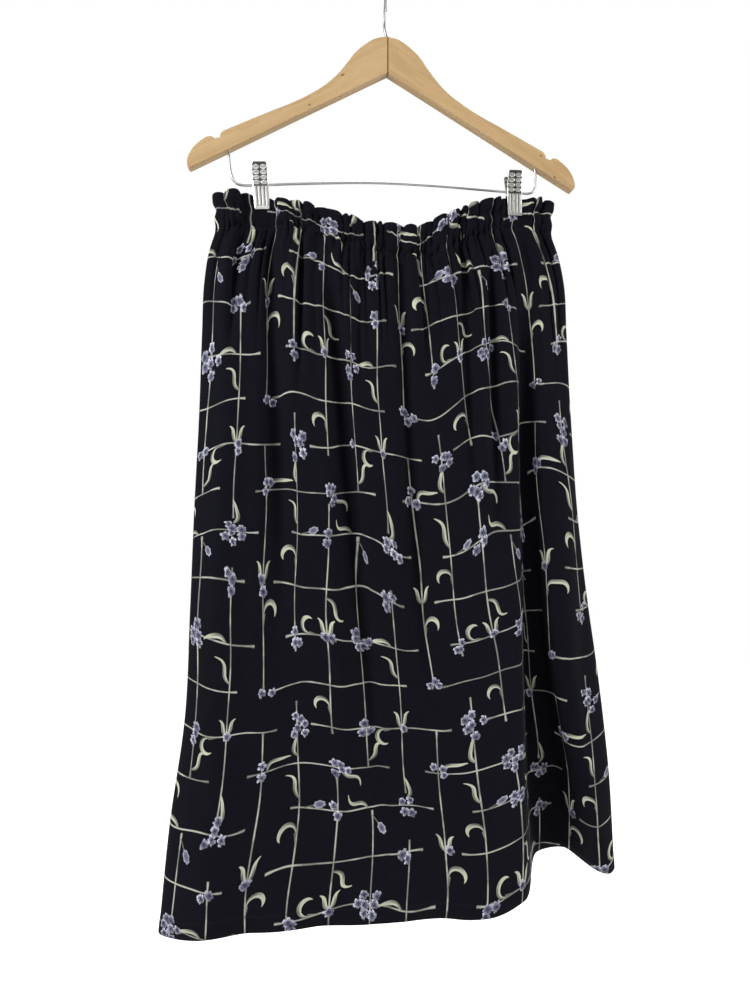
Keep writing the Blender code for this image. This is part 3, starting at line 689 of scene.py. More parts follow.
# How far the cloth stands out at the sides, up the casing
WAIST_FLARE = [
    (-1.00, 0.0032),
    (-0.80, 0.0024),
    (-0.60, -0.0010),
    (-0.35, 0.0006),
    (-0.12, -0.0004),
    (0.00, 0.0000),
]
HEADER = 0.0155              # from the frill's edge to the casing's upper stitching
# How firmly the clips flatten the cloth: share of the way down or up, strength
CLIP_PULL = [
    (-1.00, 1.00),
    (-0.30, 1.00),
    (0.00, 0.85),
    (0.03, 0.62),
    (0.08, 0.34),
    (0.15, 0.12),
    (0.25, 0.00),
    (1.00, 0.00),
]
# Hem: place along it and its height, front and back
FRONT_HEM = [
    (-0.250, -1.0480),
    (-0.225, -1.0460),
    (-0.190, -1.0430),
    (-0.135, -1.0433),
    (-0.097, -1.0446),
    (0.008, -1.0495),
    (0.090, -1.0509),
    (0.130, -1.0456),
    (0.152, -1.0350),
    (0.176, -1.0230),
    (0.205, -1.0165),
    (0.228, -1.0195),
    (0.250, -1.0310),
    (0.268, -1.0355),
    (0.285, -1.0300),
]
BACK_HEM = [
    (-0.250, -1.0480),
    (-0.150, -1.0440),
    (-0.050, -1.0460),
    (0.060, -1.0420),
    (0.140, -1.0320),
    (0.200, -1.0215),
    (0.245, -1.0245),
    (0.285, -1.0290),
]
SIDE_HEMS = (-1.0478, -1.0308)   # height of both panels' hems at the left and the right seam
# Creases, given one by one: x and height at the top, x and height at the foot, how far
# the cloth stands out along it or in, and half of its width
Crease = namedtuple("Crease", "x_top z_top x_foot z_foot height half")
FRONT_CREASES = [
    Crease(-0.163, -0.298, -0.173, -0.450, -0.0062, 0.0085),
    Crease(-0.150, -0.300, -0.158, -0.470, 0.0014, 0.0070),
    Crease(-0.129, -0.300, -0.118, -0.760, -0.0048, 0.0110),
    Crease(-0.108, -0.310, -0.104, -0.430, 0.0014, 0.0050),
    Crease(-0.094, -0.312, -0.101, -0.500, -0.0044, 0.0065),
    Crease(-0.070, -0.308, 0.008, -1.100, -0.0062, 0.0125),
    Crease(-0.084, -0.330, -0.060, -0.560, 0.0016, 0.0070),
    Crease(-0.036, -0.330, -0.032, -0.500, -0.0042, 0.0065),
    Crease(0.008, -0.322, 0.052, -0.900, -0.0054, 0.0105),
    Crease(0.024, -0.330, 0.034, -0.480, 0.0014, 0.0060),
    Crease(0.040, -0.322, 0.046, -0.450, -0.0030, 0.0070),
    Crease(0.064, -0.320, 0.070, -0.415, 0.0012, 0.0050),
    Crease(0.084, -0.303, 0.096, -0.620, -0.0056, 0.0095),
    Crease(0.117, -0.290, 0.121, -0.620, -0.0062, 0.0090),
    Crease(0.100, -0.460, 0.108, -0.640, 0.0016, 0.0080),
    Crease(0.134, -0.300, 0.140, -0.430, 0.0014, 0.0055),
    Crease(0.172, -0.290, 0.184, -0.400, -0.0030, 0.0080),
    Crease(-0.180, -0.520, -0.188, -0.780, 0.0014, 0.0110),
    Crease(0.020, -0.560, 0.048, -0.860, -0.0014, 0.0120),
    Crease(-0.060, -0.700, -0.046, -0.980, 0.0014, 0.0140),
    Crease(-0.117, -0.430, -0.047, -1.450, -0.0065, 0.0500),
    Crease(-0.012, -0.660, 0.108, -1.400, -0.0042, 0.0400),
    Crease(0.196, -0.450, 0.214, -1.450, 0.0080, 0.0300),
]
BACK_CREASES = [
    Crease(-0.152, -0.298, -0.176, -0.620, -0.0042, 0.0100),
    Crease(-0.136, -0.300, -0.146, -0.400, 0.0014, 0.0050),
    Crease(-0.098, -0.300, -0.112, -0.820, -0.0050, 0.0110),
    Crease(-0.078, -0.315, -0.076, -0.440, 0.0014, 0.0055),
    Crease(-0.050, -0.316, -0.052, -0.520, -0.0034, 0.0080),
    Crease(-0.012, -0.322, -0.020, -0.760, -0.0046, 0.0100),
    Crease(0.012, -0.330, 0.014, -0.430, 0.0014, 0.0050),
    Crease(0.032, -0.322, 0.040, -0.640, -0.0040, 0.0090),
    Crease(0.060, -0.320, 0.064, -0.410, -0.0024, 0.0055),
    Crease(0.082, -0.304, 0.090, -0.780, -0.0048, 0.0105),
    Crease(0.122, -0.292, 0.136, -0.480, -0.0030, 0.0070),
    Crease(0.150, -0.420, 0.176, -0.760, 0.0016, 0.0120),
    Crease(-0.060, -0.600, -0.066, -0.900, 0.0016, 0.0120),
]
# How far the cloth rumples and crumples, and how close together across and down
RUMPLE, RUMPLE_SCALE = 0.0007, (34, 16)
CRUMPLE, CRUMPLE_SCALE = 0.0030, (240, 110)
CRUMPLE_REACH = 0.06         # share of the way down where the casing's crumpling has died
HEM_STEP = 0.00035           # where the turned-up cloth ends
STITCH_SINK, STITCH_WIDTH = 0.0009, 0.0016
# The two panels: which way each faces, its depth in SECTIONS and its own tables
Side = namedtuple("Side", "sign depth_column folds hem creases")
SIDES = {
    "front": Side(-1, 5, FRONT_FOLDS, FRONT_HEM, FRONT_CREASES),
    "back": Side(1, 6, BACK_FOLDS, BACK_HEM, BACK_CREASES),
}
PRINT_START = {"front": 0.02, "back": 0.31}   # where each width was cut from the print
CLOTH_TOP = 0.918            # of the frill's edge in the print's own measure


def table_curve(rows, column, at):
    """One column of a table, read as a smooth curve over its first column."""
    keys = np.array([row[0] for row in rows])
    values = np.array([row[column] for row in rows])
    slopes = np.gradient(values, keys)
    at = np.clip(at, keys[0], keys[-1])
    before = np.clip(np.searchsorted(keys, at) - 1, 0, len(keys) - 2)
    span = keys[before + 1] - keys[before]
    t = (at - keys[before]) / span
    return ((1 + 2 * t) * (1 - t) ** 2 * values[before]
            + t * (1 - t) ** 2 * span * slopes[before]
            + t * t * (3 - 2 * t) * values[before + 1]
            - t * t * (1 - t) * span * slopes[before + 1])


def fold_depth(fold, down):
    """Depth of a fold at this share of the way down."""
    if down < MIDDLE:
        depth = fold.waist + (fold.middle - fold.waist) * ease(down / MIDDLE)
    else:
        depth = fold.middle + (fold.hem - fold.middle) * ease((down - MIDDLE) / (1 - MIDDLE))
    return depth * (1 - ease((down - fold.reach + FADE) / FADE))


def clip_grip(x, down):
    """How flat the clips hold the cloth at this place, from 0 to 1."""
    grip = np.zeros_like(x)
    for _, clip_x, _ in CLIPS:
        away = np.abs(x - clip_x - JAW_SHIFT)
        grip = np.maximum(grip, 1 - ease((away - JAW_FLAT) / (JAW_FADE - JAW_FLAT)))
    return grip * np.clip(table_curve(CLIP_PULL, 1, down), 0, 1)


def plan_curve(side, down):
    """The panel's plan at one level: fine points along it and their depth."""
    panel = SIDES[side]
    level = max(down, 0.0)
    theta = np.linspace(0, math.pi, PLAN_POINTS)
    share = (1 - np.cos(theta)) / 2
    left, right, left_y, right_y = (table_curve(SECTIONS, c, level) for c in (1, 2, 3, 4))
    flare = table_curve(WAIST_FLARE, 1, min(down, 0.0))
    left, right = left - flare, right + flare
    x = left + (right - left) * share
    line = left_y + (right_y - left_y) * share
    round_end = np.clip(np.sin(theta), 0, 1) ** SIDE_ROUNDNESS
    depth = table_curve(SECTIONS, panel.depth_column, level) * round_end
    for fold in panel.folds:
        run = level ** fold.bend
        place = fold.x_waist + (fold.x_hem - fold.x_waist) * run
        half = fold.half_waist + (fold.half_hem - fold.half_waist) * run
        away = np.abs(x - place) / half
        depth = depth - (fold_depth(fold, level) * (1 - ease((away - fold.flat) / (1 - fold.flat)))
                         * np.minimum(1, round_end / 0.5))
    grip = clip_grip(x, down)
    depth = depth * (1 - grip) + (SEAM_GAP / 2 + CASING_THICK / 2) * grip
    return np.column_stack((x, line + panel.sign * depth)), depth


def thread_shares():
    """Gather number and place round the panel of each column, unevenly spaced."""
    phase = np.arange(WAVES * COLUMNS_PER_WAVE + 1) / COLUMNS_PER_WAVE
    uneven = (0.30 * np.sin(0.83 * phase) + 0.22 * np.sin(2.17 * phase + 1.0)) / WAVES
    return phase, phase / WAVES + uneven * ease(np.minimum(phase, WAVES - phase) / 2)


def along_plan(plan):
    """Length along a panel's plan: at its fine points and at each column, with the columns' numbers."""
    along = np.concatenate(([0.0], np.cumsum(np.hypot(*np.diff(plan, axis=0).T))))
    phase, share = thread_shares()
    return along, SEAM_GAP / 2 + share * (along[-1] - SEAM_GAP), phase, share


def off_seams(phase):
    """0 at the side seams and 1 from a gather and a half inside them."""
    return ease(np.minimum(phase, WAVES - phase) / 1.5)


def pillow(phase):
    """Round crests with pinched valleys between them, unevenly wide, from -1.1 to 0.9."""
    return 2.0 * np.abs(np.sin(math.pi * (phase + 0.16 * np.sin(2.6 * phase)))) ** 0.75 - 1.1


def gathers(phase, down):
    """Out and in of the gathers and of the fine ribs between them, none like the next."""
    number = np.floor(phase)
    height = table_curve(GATHERS, 1, down)
    if down > 0:
        height = height * (1 - ease((down - 0.05 - 0.10 * (0.5 + 0.5 * np.sin(2.9 * number + 0.4))) / 0.12))
    height = height * (0.82 + 0.20 * np.sin(1.9 * number + 0.6) + 0.12 * np.sin(4.3 * number))
    ribs = table_curve(GATHERS, 2, down) * (0.75 + 0.5 * np.sin(2.3 * phase + 5.0 * down))
    return off_seams(phase) * (height * pillow(phase)
                               + ribs * np.sin(2 * math.pi * (3 * phase + 0.3 * np.sin(1.3 * phase))))


def creases(side, x, z):
    """How far the hand-set creases move each point out."""
    moved = np.zeros_like(x)
    for crease in SIDES[side].creases:
        run = np.array((crease.x_foot - crease.x_top, crease.z_foot - crease.z_top))
        length = np.linalg.norm(run)
        run /= length
        along = (x - crease.x_top) * run[0] + (z - crease.z_top) * run[1]
        away = np.abs((x - crease.x_top) * run[1] - (z - crease.z_top) * run[0])
        t = along / length
        moved += (crease.height * (1 - ease(away / crease.half))
                  * ease(t / 0.12) * ease((1 - t) / 0.45))
    return moved


def cloth_noise(x, z, scale, slice_at):
    """Smooth noise over the cloth, closer across than down."""
    return np.array([noise.noise(Vector((a * scale[0], b * scale[1], slice_at))) for a, b in zip(x, z)])


def sheet_row(side, down):
    """Points of one level of a panel, from the left side to the right, and their share of its width."""
    sign = SIDES[side].sign
    plan, depth = plan_curve(side, down)
    along, at, phase, share = along_plan(plan)
    middle = np.column_stack([np.interp(at, along, plan[:, k]) for k in (0, 1)])
    tangent = np.gradient(plan, along, axis=0)
    tangent[0], tangent[-1] = (0, sign), (0, -sign)
    facing = np.column_stack([np.interp(at, along, tangent[:, k]) for k in (0, 1)])
    normal = np.column_stack((-sign * facing[:, 1], sign * facing[:, 0]))
    normal /= np.linalg.norm(normal, axis=1)[:, None]
    room = GATHER_LIMIT * np.maximum(np.interp(at, along, depth) - SEAM_GAP / 2 - CASING_THICK / 2, 0)
    x = middle[:, 0]
    if down < 0:
        top, foot = table_curve(WAIST_LINE, 1, x), table_curve(WAIST_LINE, 2, x)
        lift = FRILL_LIFT * (-down) ** 3 * pillow(phase) * (0.85 + 0.25 * np.sin(2.7 * np.floor(phase)))
        lift += 0.0009 * (1 + down) * np.sin(2 * math.pi * phase + 3.1 * np.sin(0.7 * phase))
        z = foot - (top - foot) * down + lift
    else:
        start = table_curve(WAIST_LINE, 2, waist_x[side])
        hem = table_curve(SIDES[side].hem, 1, hem_x[side])
        for end_share, end_height in ((share, SIDE_HEMS[0]), (1 - share, SIDE_HEMS[1])):
            hem = hem + (end_height - hem) * (1 - ease(end_share / 0.09))
        z = start + (hem - start) * down
    free = off_seams(phase)
    rumple = cloth_noise(x, z, RUMPLE_SCALE, sign * 5.0)
    moved = gathers(phase, down) + free * (creases(side, x, z) + RUMPLE * rumple * ease(down / 0.1))
    if down < CRUMPLE_REACH:
        # the elastic crumples the casing, and the crumpling dies away just under it
        fine = cloth_noise(x, z, CRUMPLE_SCALE, sign * 9.0)
        moved += free * CRUMPLE * fine * ease((CRUMPLE_REACH - down) / CRUMPLE_REACH) * ease((1 + down) / 0.3)
    # the turned-up hem is one cloth thicker, so a faint step shows where it ends
    moved += HEM_STEP * ease((down - 1 + HEM_TURN / PANEL_LENGTH) / 0.002)
    # each row of stitches pulls the cloth in
    from_edge = (1 + down) * CASING_HEIGHT if down < 0 else CASING_HEIGHT + down * PANEL_LENGTH
    for row in (HEADER, CASING_HEIGHT):
        moved -= STITCH_SINK * free * math.exp(-((from_edge - row) / STITCH_WIDTH) ** 2)
    out = middle + normal * np.clip(moved, -room, room)[:, None]
    return np.column_stack((out, z)), share


def edge_x(side, down):
    """x of every thread at one level, for the lines that its height is read from."""
    plan, _ = plan_curve(side, down)
    along, at, _, _ = along_plan(plan)
    return np.interp(at, along, plan[:, 0])


waist_x = {side: edge_x(side, 0.0) for side in SIDES}
hem_x = {side: edge_x(side, 1.0) for side in SIDES}
LEVELS = np.concatenate((np.linspace(1, 0, 91) ** 1.2, -np.linspace(0, 1, 34)[1:]))


def cloth_sheet(side, right_side, wrong_side):
    """One panel with its casing and frill, shaped from a flat grid, with thickness."""
    columns = WAVES * COLUMNS_PER_WAVE
    rows = [sheet_row(side, down) for down in LEVELS]
    bm = bmesh.new()
    bmesh.ops.create_grid(bm, x_segments=columns, y_segments=len(LEVELS) - 1, size=0.5)
    uv = bm.loops.layers.uv.new("cloth")
    layers = bm.verts.layers.deform.new()
    flat = {}
    for vert in bm.verts:
        column = round((vert.co.x + 0.5) * columns)
        row = round((vert.co.y + 0.5) * (len(LEVELS) - 1))
        points, share = rows[row]
        down = LEVELS[row]
        if side == "back":
            column = columns - column
        tucked = table_curve(TUCKED, 1, down) * math.sin(2 * math.pi * column / COLUMNS_PER_WAVE)
        tucked = tucked / (2 * math.pi * WAVES)
        across = share[column] + tucked if side == "front" else 1 - share[column] - tucked
        length = CASING_HEIGHT + (CASING_HEIGHT if down < 0 else PANEL_LENGTH) * down
        flat[vert.index] = (PRINT_START[side] + CUT_WIDTH * across, CLOTH_TOP - length)
        vert.co = points[column]
        vert[layers][0] = 1.0 if down <= 0 else (0.35 if down > 1 - HEM_TURN / PANEL_LENGTH else 0.0)
    for face in bm.faces:
        for loop in face.loops:
            loop[uv].uv = flat[loop.vert.index]
    name = "printed_cloth_" + side
    sheet = add_piece(name, smooth_mesh(name, bm), right_side)
    sheet.data.materials.append(wrong_side)
    sheet.vertex_groups.new(name="layers")
    thick = sheet.modifiers.new("cloth", "SOLIDIFY")
    thick.thickness = CASING_THICK - 0.0002
    thick.offset = 0.0
    thick.vertex_group = "layers"
    thick.thickness_vertex_group = CLOTH_THICK / thick.thickness
    thick.material_offset = 1
    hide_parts(side + "_panel", "waist_casing_" + side)


# The print: a trellis of cut stems, nearly straight down and wavy across, with
# lilac blossoms at some crossings and leaves off the stems. It repeats every
# five cells across and six down, one letter to a cell.
CELL_ACROSS, CELL_DOWN = 0.043, 0.050
STEM_HALF = 0.00088
INK_SOFTNESS = 0.00035       # width over which a printed edge fades
# At the crossings: B many blossoms, s one or two, p a pair of leaves and a blossom
CROSSINGS = [
    "B..s.",
    ".sp.B",
    "...s.",
    "pB..s",
    "..sp.",
    "s.B..",
]
# Half-way down a stem: l and r a long leaf to one side, j and k a hooked one, u a bud
STEMS = [
    ".r..l",
    "k..u.",
    "..l.r",
    "r..j.",
    ".u..k",
    "..r.l",
]
# The same half-way along a stem that runs across
BRANCHES = [
    "l..r.",
    ".k...",
    "..l..",
    ".r..j",
    "...l.",
    "r...u",
]
LETTERS = ".Bsplrjku"        # a letter's place here is its number
INK_STEM, INK_STEM_EDGE = (0.44, 0.44, 0.385), (0.10, 0.105, 0.095)
INK_LEAF, INK_LEAF_SHADE = (0.51, 0.52, 0.405), (0.115, 0.122, 0.105)
INK_PETAL, INK_PETAL_LIGHT, INK_PETAL_LINE = (0.095, 0.095, 0.150), (0.60, 0.61, 0.71), (0.014, 0.013, 0.032)


class Sum:
    """A number that Math nodes work out, so that the print is written as plain sums."""

    def __init__(self, tree, socket):
        self.tree, self.socket = tree, socket

    def do(self, operation, *others, clamp=False):
        values = [value.socket if isinstance(value, Sum) else value for value in (self, *others)]
        node = put(self.tree, "Math", {"operation": operation, "use_clamp": clamp}, *values)
        return Sum(self.tree, node.outputs[0])

    def __add__(self, other):
        return self.do("ADD", other)

    def __sub__(self, other):
        return self.do("SUBTRACT", other)

    def __mul__(self, other):
        return self.do("MULTIPLY", other)

    def __truediv__(self, other):
        return self.do("DIVIDE", other)

    def __pow__(self, power):
        return self.do("POWER", power)

    def __abs__(self):
        return self.do("ABSOLUTE")

    def most(self, other):
        return self.do("MAXIMUM", other)

    def least(self, other):
        return self.do("MINIMUM", other)

    def above(self, edge, soft=0.001):
        """1 above the edge and 0 below it, with a soft step between."""
        return ((self - edge) / soft).do("ADD", 0.5, clamp=True)

    def below(self, edge, soft=0.001):
        return ((self - edge) / -soft).do("ADD", 0.5, clamp=True)


def print_group():
    """The trellis print as a node group: cloth coordinates in, ink colour and cover out."""
    group, came, went = new_group("trellis_print", {"Vector": "Vector"}, {"Ink": "Color", "Cover": "Float"})
    soft = INK_SOFTNESS
    across, down = len(CROSSINGS[0]), len(CROSSINGS)

    def parts(vector):
        split = put(group, "SeparateXYZ", Vector=vector)
        return [Sum(group, split.outputs[k]) for k in (0, 1)]

    def joined(x, y):
        return put(group, "CombineXYZ", None, x.socket, y.socket).outputs["Vector"]

    def channels(colour):
        """A colour's three channels as numbers."""
        split = put(group, "SeparateColor", Color=colour)
        return [Sum(group, split.outputs[k]) for k in range(3)]

    def flat_noise(vector, scale, detail):
        return put(group, "TexNoise", {"noise_dimensions": "2D"}, Vector=vector, Scale=scale, Detail=detail)

    def chance(column, row):
        """Three numbers from 0 to 1 for a cell, the same in every repeat."""
        spot = joined(column.do("FLOORED_MODULO", across), row.do("FLOORED_MODULO", down))
        white = put(group, "TexWhiteNoise", {"noise_dimensions": "2D"}, Vector=spot)
        return channels(white.outputs["Color"])

    def letter(chart, column, row):
        """A chart's letter at a cell, as its number in LETTERS."""
        cell = column.do("FLOORED_MODULO", across) + row.do("FLOORED_MODULO", down) * across + 0.5
        found = put(group, "ValToRGB", Fac=(cell / (across * down)).socket)
        found.color_ramp.interpolation = "CONSTANT"
        stops = found.color_ramp.elements
        for number, sign in enumerate("".join(chart)):
            start = number / (across * down)
            stop = stops[0] if number == 0 else stops.new(start)
            stop.position = start
            stop.color = (*[LETTERS.index(sign) / len(LETTERS)] * 3, 1.0)
        return Sum(group, found.outputs["Color"]) * len(LETTERS)

    def chosen(found, sign):
        return abs(found - LETTERS.index(sign)).below(0.5)

    def leaf(p, q, length, sway, hook, half):
        """A leaf from its root along p, swaying and hooked at the tip; its cover and its shaded parts."""
        t = (p / length).most(0.0).least(1.0)
        middle = (t * 5.6).do("SINE") * sway + t ** 6.0 * hook
        slope = ((t * 5.6).do("COSINE") * 5.6 * sway + t ** 5.0 * 6.0 * hook) / length
        width = t ** 0.7 * (t * -1.0 + 1.0) ** 0.9 * (2.7 * half) + 0.0004
        off = (q - middle) / (slope * slope + 1.0) ** 0.5
        inside = p.above(0.0, soft) * p.below(length, soft)
        shade = (off.above(0.0, soft * 2) * t.below(0.62, 0.3)).most(t.below(0.16, 0.3))
        return inside * (abs(off) - width).below(0.0, soft), shade

    def hooked_leaf(across_it, along_it):
        """A leaf that runs along its stem, turns round in a hook and ends in a point."""
        hx = across_it + 0.0105
        turned = ((along_it * -1.0).do("ARCTAN2", hx) / (2 * math.pi)).do("FRACT") / 0.60
        part = turned.least(1.0)
        off = (hx * hx + along_it * along_it) ** 0.5 - (part * -0.0012 + 0.0092)
        width = (part + 0.04) ** 1.25 * (part * -1.0 + 1.0) ** 1.05 * 0.0104 + 0.0002
        bow = (abs(off) - width).below(0.0, soft) * turned.below(1.0)
        shank_off = across_it + (along_it * -90.0 + 1.0).most(0.0) * 0.0020
        shank_width = (along_it * -62.0 + 1.0).most(0.0) * 0.0013
        shank = (abs(shank_off) - shank_width).below(0.0, soft) * along_it.above(0.0, soft)
        return bow.most(shank), (off.above(0.0, soft * 2) * part.below(0.55, 0.3)).most(shank)

    def grown(chart, column, row, away, along, rooted):
        """What grows half-way along one stretch of stem: leaves and shade, bud, its size, stalk."""
        found = letter(chart, column, row)
        turn, lean, size = chance(column, row)
        px = away * (chosen(found, "l").most(chosen(found, "j")) * -2.0 + 1.0)
        py = along * (turn.above(0.5) * 2.0 - 1.0)
        angle = lean * 0.50 + 0.25
        root = py + 0.016
        p = px * angle.do("SINE") + root * angle.do("COSINE")
        q = px * angle.do("COSINE") - root * angle.do("SINE")
        long, long_shade = leaf(p, q, size * 0.007 + 0.026, lean * 0.0022 + 0.0022,
                                (size.above(0.5) * 2.0 - 1.0) * 0.0085, 0.0020)
        long = long * chosen(found, "l").most(chosen(found, "r"))
        hook, hook_shade = hooked_leaf(px, py)
        hook = hook * chosen(found, "j").most(chosen(found, "k"))
        bud_long, bud_wide = (p - 0.0180) / 0.0068, q / 0.0038
        fringe = (bud_wide.do("ARCTAN2", bud_long) * 7.0).do("COSINE")
        bud_size = (bud_long * bud_long + bud_wide * bud_wide) * (fringe * 0.16 + 1.0)
        bud = bud_size.below(1.0, 0.1) * chosen(found, "u") * rooted
        stalk = (abs(q) - 0.0007).below(0.0, soft) * p.above(0.0) * p.below(0.013) * chosen(found, "u")
        leaves = long.most(hook) * rooted
        return leaves, (long * long_shade).most(hook * hook_shade), bud, bud_size, stalk * rooted

    # the lattice, drawn a little out of true
    u, v = parts(came.outputs["Vector"])
    aside, aloft, _ = channels(flat_noise(joined(u * 7.0, v * 4.5), 1.0, 1.0).outputs["Color"])
    x = u + (aside - 0.5) * 0.024
    y = v + (aloft - 0.5) * 0.058
    column, row = (x / CELL_ACROSS).do("ROUND"), (y / CELL_DOWN).do("ROUND")
    dx, dy = x - column * CELL_ACROSS, y - row * CELL_DOWN

    # stems, each cut off a little thicker at both ends of its run
    none = column * 0.0
    started = chance(column, none)[0]
    ends_down = (y / (CELL_DOWN * down) + started).do("FRACT")
    begun = chance(none + 2.0, row)[1]
    ends_across = (x / (CELL_ACROSS * across) + begun).do("FRACT")
    thick_down = ends_down.below(0.02, 0.02).most(ends_down.above(0.80, 0.02)) * 0.0006 + STEM_HALF
    thick_across = ends_across.below(0.03, 0.03).most(ends_across.above(0.77, 0.03)) * 0.0006 + STEM_HALF
    stem_down = (abs(dx) - thick_down).below(0.0, soft) * ends_down.below(0.82)
    stem_across = (abs(dy) - thick_across).below(0.0, soft) * ends_across.below(0.80)
    stems = stem_down.most(stem_across)
    rim = (abs(dx) + (stem_down * -1.0 + 1.0)).least(abs(dy) + (stem_across * -1.0 + 1.0)) / STEM_HALF

    # leaves and buds, each rooted on a stem between two crossings
    half_down, half_across = (y / CELL_DOWN).do("FLOOR"), (x / CELL_ACROSS).do("FLOOR")
    place = ((half_down + 0.5) / down + started).do("FRACT")
    hung = grown(STEMS, column, half_down, dx, y - (half_down + 0.5) * CELL_DOWN,
                 place.below(0.78) * place.above(0.03))
    place = ((half_across + 0.5) / across + begun).do("FRACT")
    stood = grown(BRANCHES, half_across, row, dy, x - (half_across + 0.5) * CELL_ACROSS,
                  place.below(0.74) * place.above(0.04))

    # pairs of leaves standing on a crossing
    found = letter(CROSSINGS, column, row)
    pair, pair_side = leaf(dy * 0.91 + abs(dx) * 0.41, abs(dx) * 0.91 - dy * 0.41,
                           0.021, 0.0012, 0.0020, 0.0019)
    pair = pair * chosen(found, "p")

    # blossoms of five petals, bunched round a crossing
    scatter = put(group, "TexVoronoi", {"voronoi_dimensions": "2D"}, Vector=joined(x, y), Scale=96.0,
                  Randomness=0.7)
    fx, fy = parts(scatter.outputs["Position"])
    tilt, tone, _ = channels(scatter.outputs["Color"])
    f_column, f_row = (fx / CELL_ACROSS).do("ROUND"), (fy / CELL_DOWN).do("ROUND")
    found = letter(CROSSINGS, f_column, f_row)
    aside, aloft, _ = chance(f_column, f_row)
    ox = (fx - f_column * CELL_ACROSS - (aside - 0.5) * 0.007) * 0.85
    oy = (fy - f_row * CELL_DOWN - (aloft - 0.5) * 0.007) * 0.80
    bunch = chosen(found, "B") * 0.0118 + chosen(found, "s") * 0.0074 + chosen(found, "p") * 0.0052
    held = ((ox * ox + oy * oy) ** 0.5 - bunch).below(0.0, 0.00001)
    ruffle = channels(flat_noise(came.outputs["Vector"], 330.0, 1.0).outputs["Color"])
    bx = (x - fx + (ruffle[0] - 0.5) * 0.0032) * (tone * 0.4 + 0.82)
    by = y - fy + (ruffle[1] - 0.5) * 0.0032
    reach = (bx * bx + by * by) ** 0.5 / 0.0057
    lobes = abs((by.do("ARCTAN2", bx) * 2.5 + tilt * 6.0).do("COSINE"))
    inward = reach - lobes * 0.36 - 0.66
    blossom = inward.below(0.0, 0.10) * held
    lit = (by - bx) / 0.0120
    streak = ruffle[2].above(0.5, 0.5) * 0.5 + 0.6
    bright = (((inward + 0.52) / 0.38).least(1.0).most(0.0) * streak + lit * 0.30) * (tone * 0.8 + 0.55)

    def mixed(cover, under, over):
        """One ink laid over another, as far as the cover says."""
        under, over = ((*colour, 1.0) if isinstance(colour, tuple) else colour for colour in (under, over))
        return put(group, "MixRGB", {"use_clamp": True}, cover.socket, under, over).outputs["Color"]

    brush = Sum(group, flat_noise(came.outputs["Vector"], 34.0, 3.0).outputs["Fac"]).above(0.50, 0.18)
    ink = mixed((rim * rim).least(1.0) * 0.70 + brush * 0.70 - 0.10, INK_STEM, INK_STEM_EDGE)
    leaves = hung[0].most(stood[0]).most(pair)
    shaded = hung[1].most(stood[1]).most(pair * pair_side)
    bud, stalk = hung[2].most(stood[2]), hung[4].most(stood[4])
    ink = mixed(leaves, ink, mixed(shaded * 0.8 + brush * 0.2, INK_LEAF, INK_LEAF_SHADE))
    ink = mixed(stalk, ink, INK_LEAF_SHADE)
    ink = mixed(bud, ink, mixed(hung[3].least(stood[3]).least(1.0) ** 1.5 * (tone * 0.5 + 0.5), INK_PETAL,
                                INK_PETAL_LIGHT))
    petal = mixed(bright, INK_PETAL, INK_PETAL_LIGHT)
    petal = mixed(lobes.below(0.26, 0.36) * 0.9, petal, INK_PETAL_LINE)
    petal = mixed((lit * -1.5 - 0.1).least(1.0).most(0.0) * 0.8, petal, INK_PETAL_LINE)
    petal = mixed(reach.below(0.22, 0.2) * 0.8, petal, INK_PETAL_LINE)
    ink = mixed(blossom, ink, petal)
    cover = stems.most(leaves).most(bud).most(stalk).most(blossom)
    group.links.new(ink, went.inputs["Ink"])
    group.links.new(cover.socket, went.inputs["Cover"])
    return group


trellis_print = print_group()


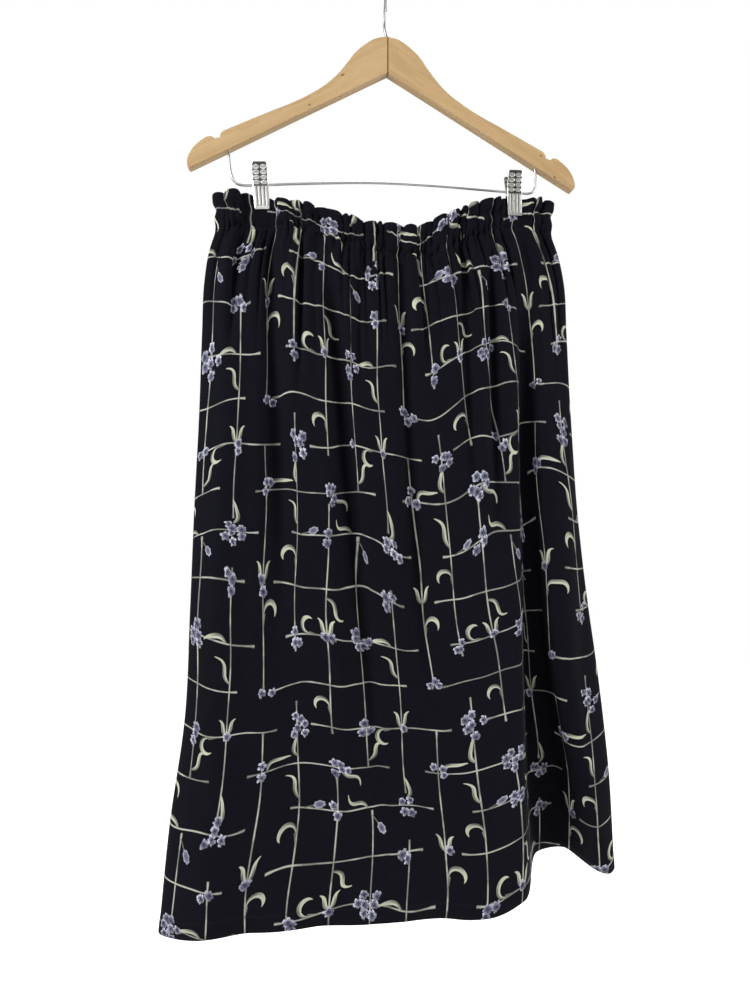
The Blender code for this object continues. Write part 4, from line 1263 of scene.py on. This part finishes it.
def viscose(name, strength, ground, ground_light):
    """Printed viscose: near-black navy, fine plain weave, the print at full or part strength."""
    made, tree, shader = new_material(name, 0.86)
    shader.inputs["Sheen Weight"].default_value = 0.008
    shader.inputs["Sheen Roughness"].default_value = 0.40
    shader.inputs["Specular IOR Level"].default_value = 0.06
    where = put(tree, "UVMap", {"uv_map": "cloth"}).outputs["UV"]
    pattern = put(tree, "Group", {"node_tree": trellis_print}, Vector=where)
    mottle = put(tree, "TexNoise", Vector=where, Scale=55.0, Detail=4.0)
    colour = layer(tree, (*ground, 1), (*ground_light, 1), mottle.outputs["Fac"])
    split = put(tree, "SeparateXYZ", Vector=where)
    u, v = Sum(tree, split.outputs[0]), Sum(tree, split.outputs[1])
    # plain weave, about 0.6 mm a thread: coarser than the real one, so that it reads
    weave = (u * 5200.0).do("SINE") * (v * 4700.0).do("SINE")
    drawn = put(tree, "Mapping", Vector=where, Scale=(1500, 90, 1)).outputs["Vector"]
    slub = put(tree, "TexNoise", Vector=drawn, Scale=1.0, Detail=2.0)
    printed = Sum(tree, pattern.outputs["Cover"]) * strength
    colour = layer(tree, colour, pattern.outputs["Ink"], printed.socket)
    # rows of machine stitches: under the frill, at the casing's foot and above the hem
    rows = None
    for place in (HEADER, CASING_HEIGHT, CASING_HEIGHT + PANEL_LENGTH - HEM_TURN + 0.0012):
        line = abs(v - (CLOTH_TOP - place)).below(0.00030, 0.0002)
        rows = line if rows is None else rows.most(line)
    stitch = rows * (u / 0.0027).do("FRACT").below(0.68, 0.06)
    colour = layer(tree, colour, (0.012, 0.012, 0.018, 1), stitch.socket)
    tree.links.new(colour, shader.inputs["Base Color"])
    relief = weave * 0.25 + Sum(tree, slub.outputs["Fac"]) * 0.5 + stitch * 2.0
    bump = put(tree, "Bump", Height=relief.socket, Strength=0.35, Distance=0.0002)
    tree.links.new(bump.outputs["Normal"], shader.inputs["Normal"])
    return made


outside = viscose("printed_viscose", 1.0, (0.0030, 0.0030, 0.0058), (0.0052, 0.0052, 0.0090))
inside = viscose("viscose_wrong_side", 0.30, (0.0060, 0.0060, 0.0110), (0.0090, 0.0090, 0.0150))
for side in SIDES:
    cloth_sheet(side, outside, inside)
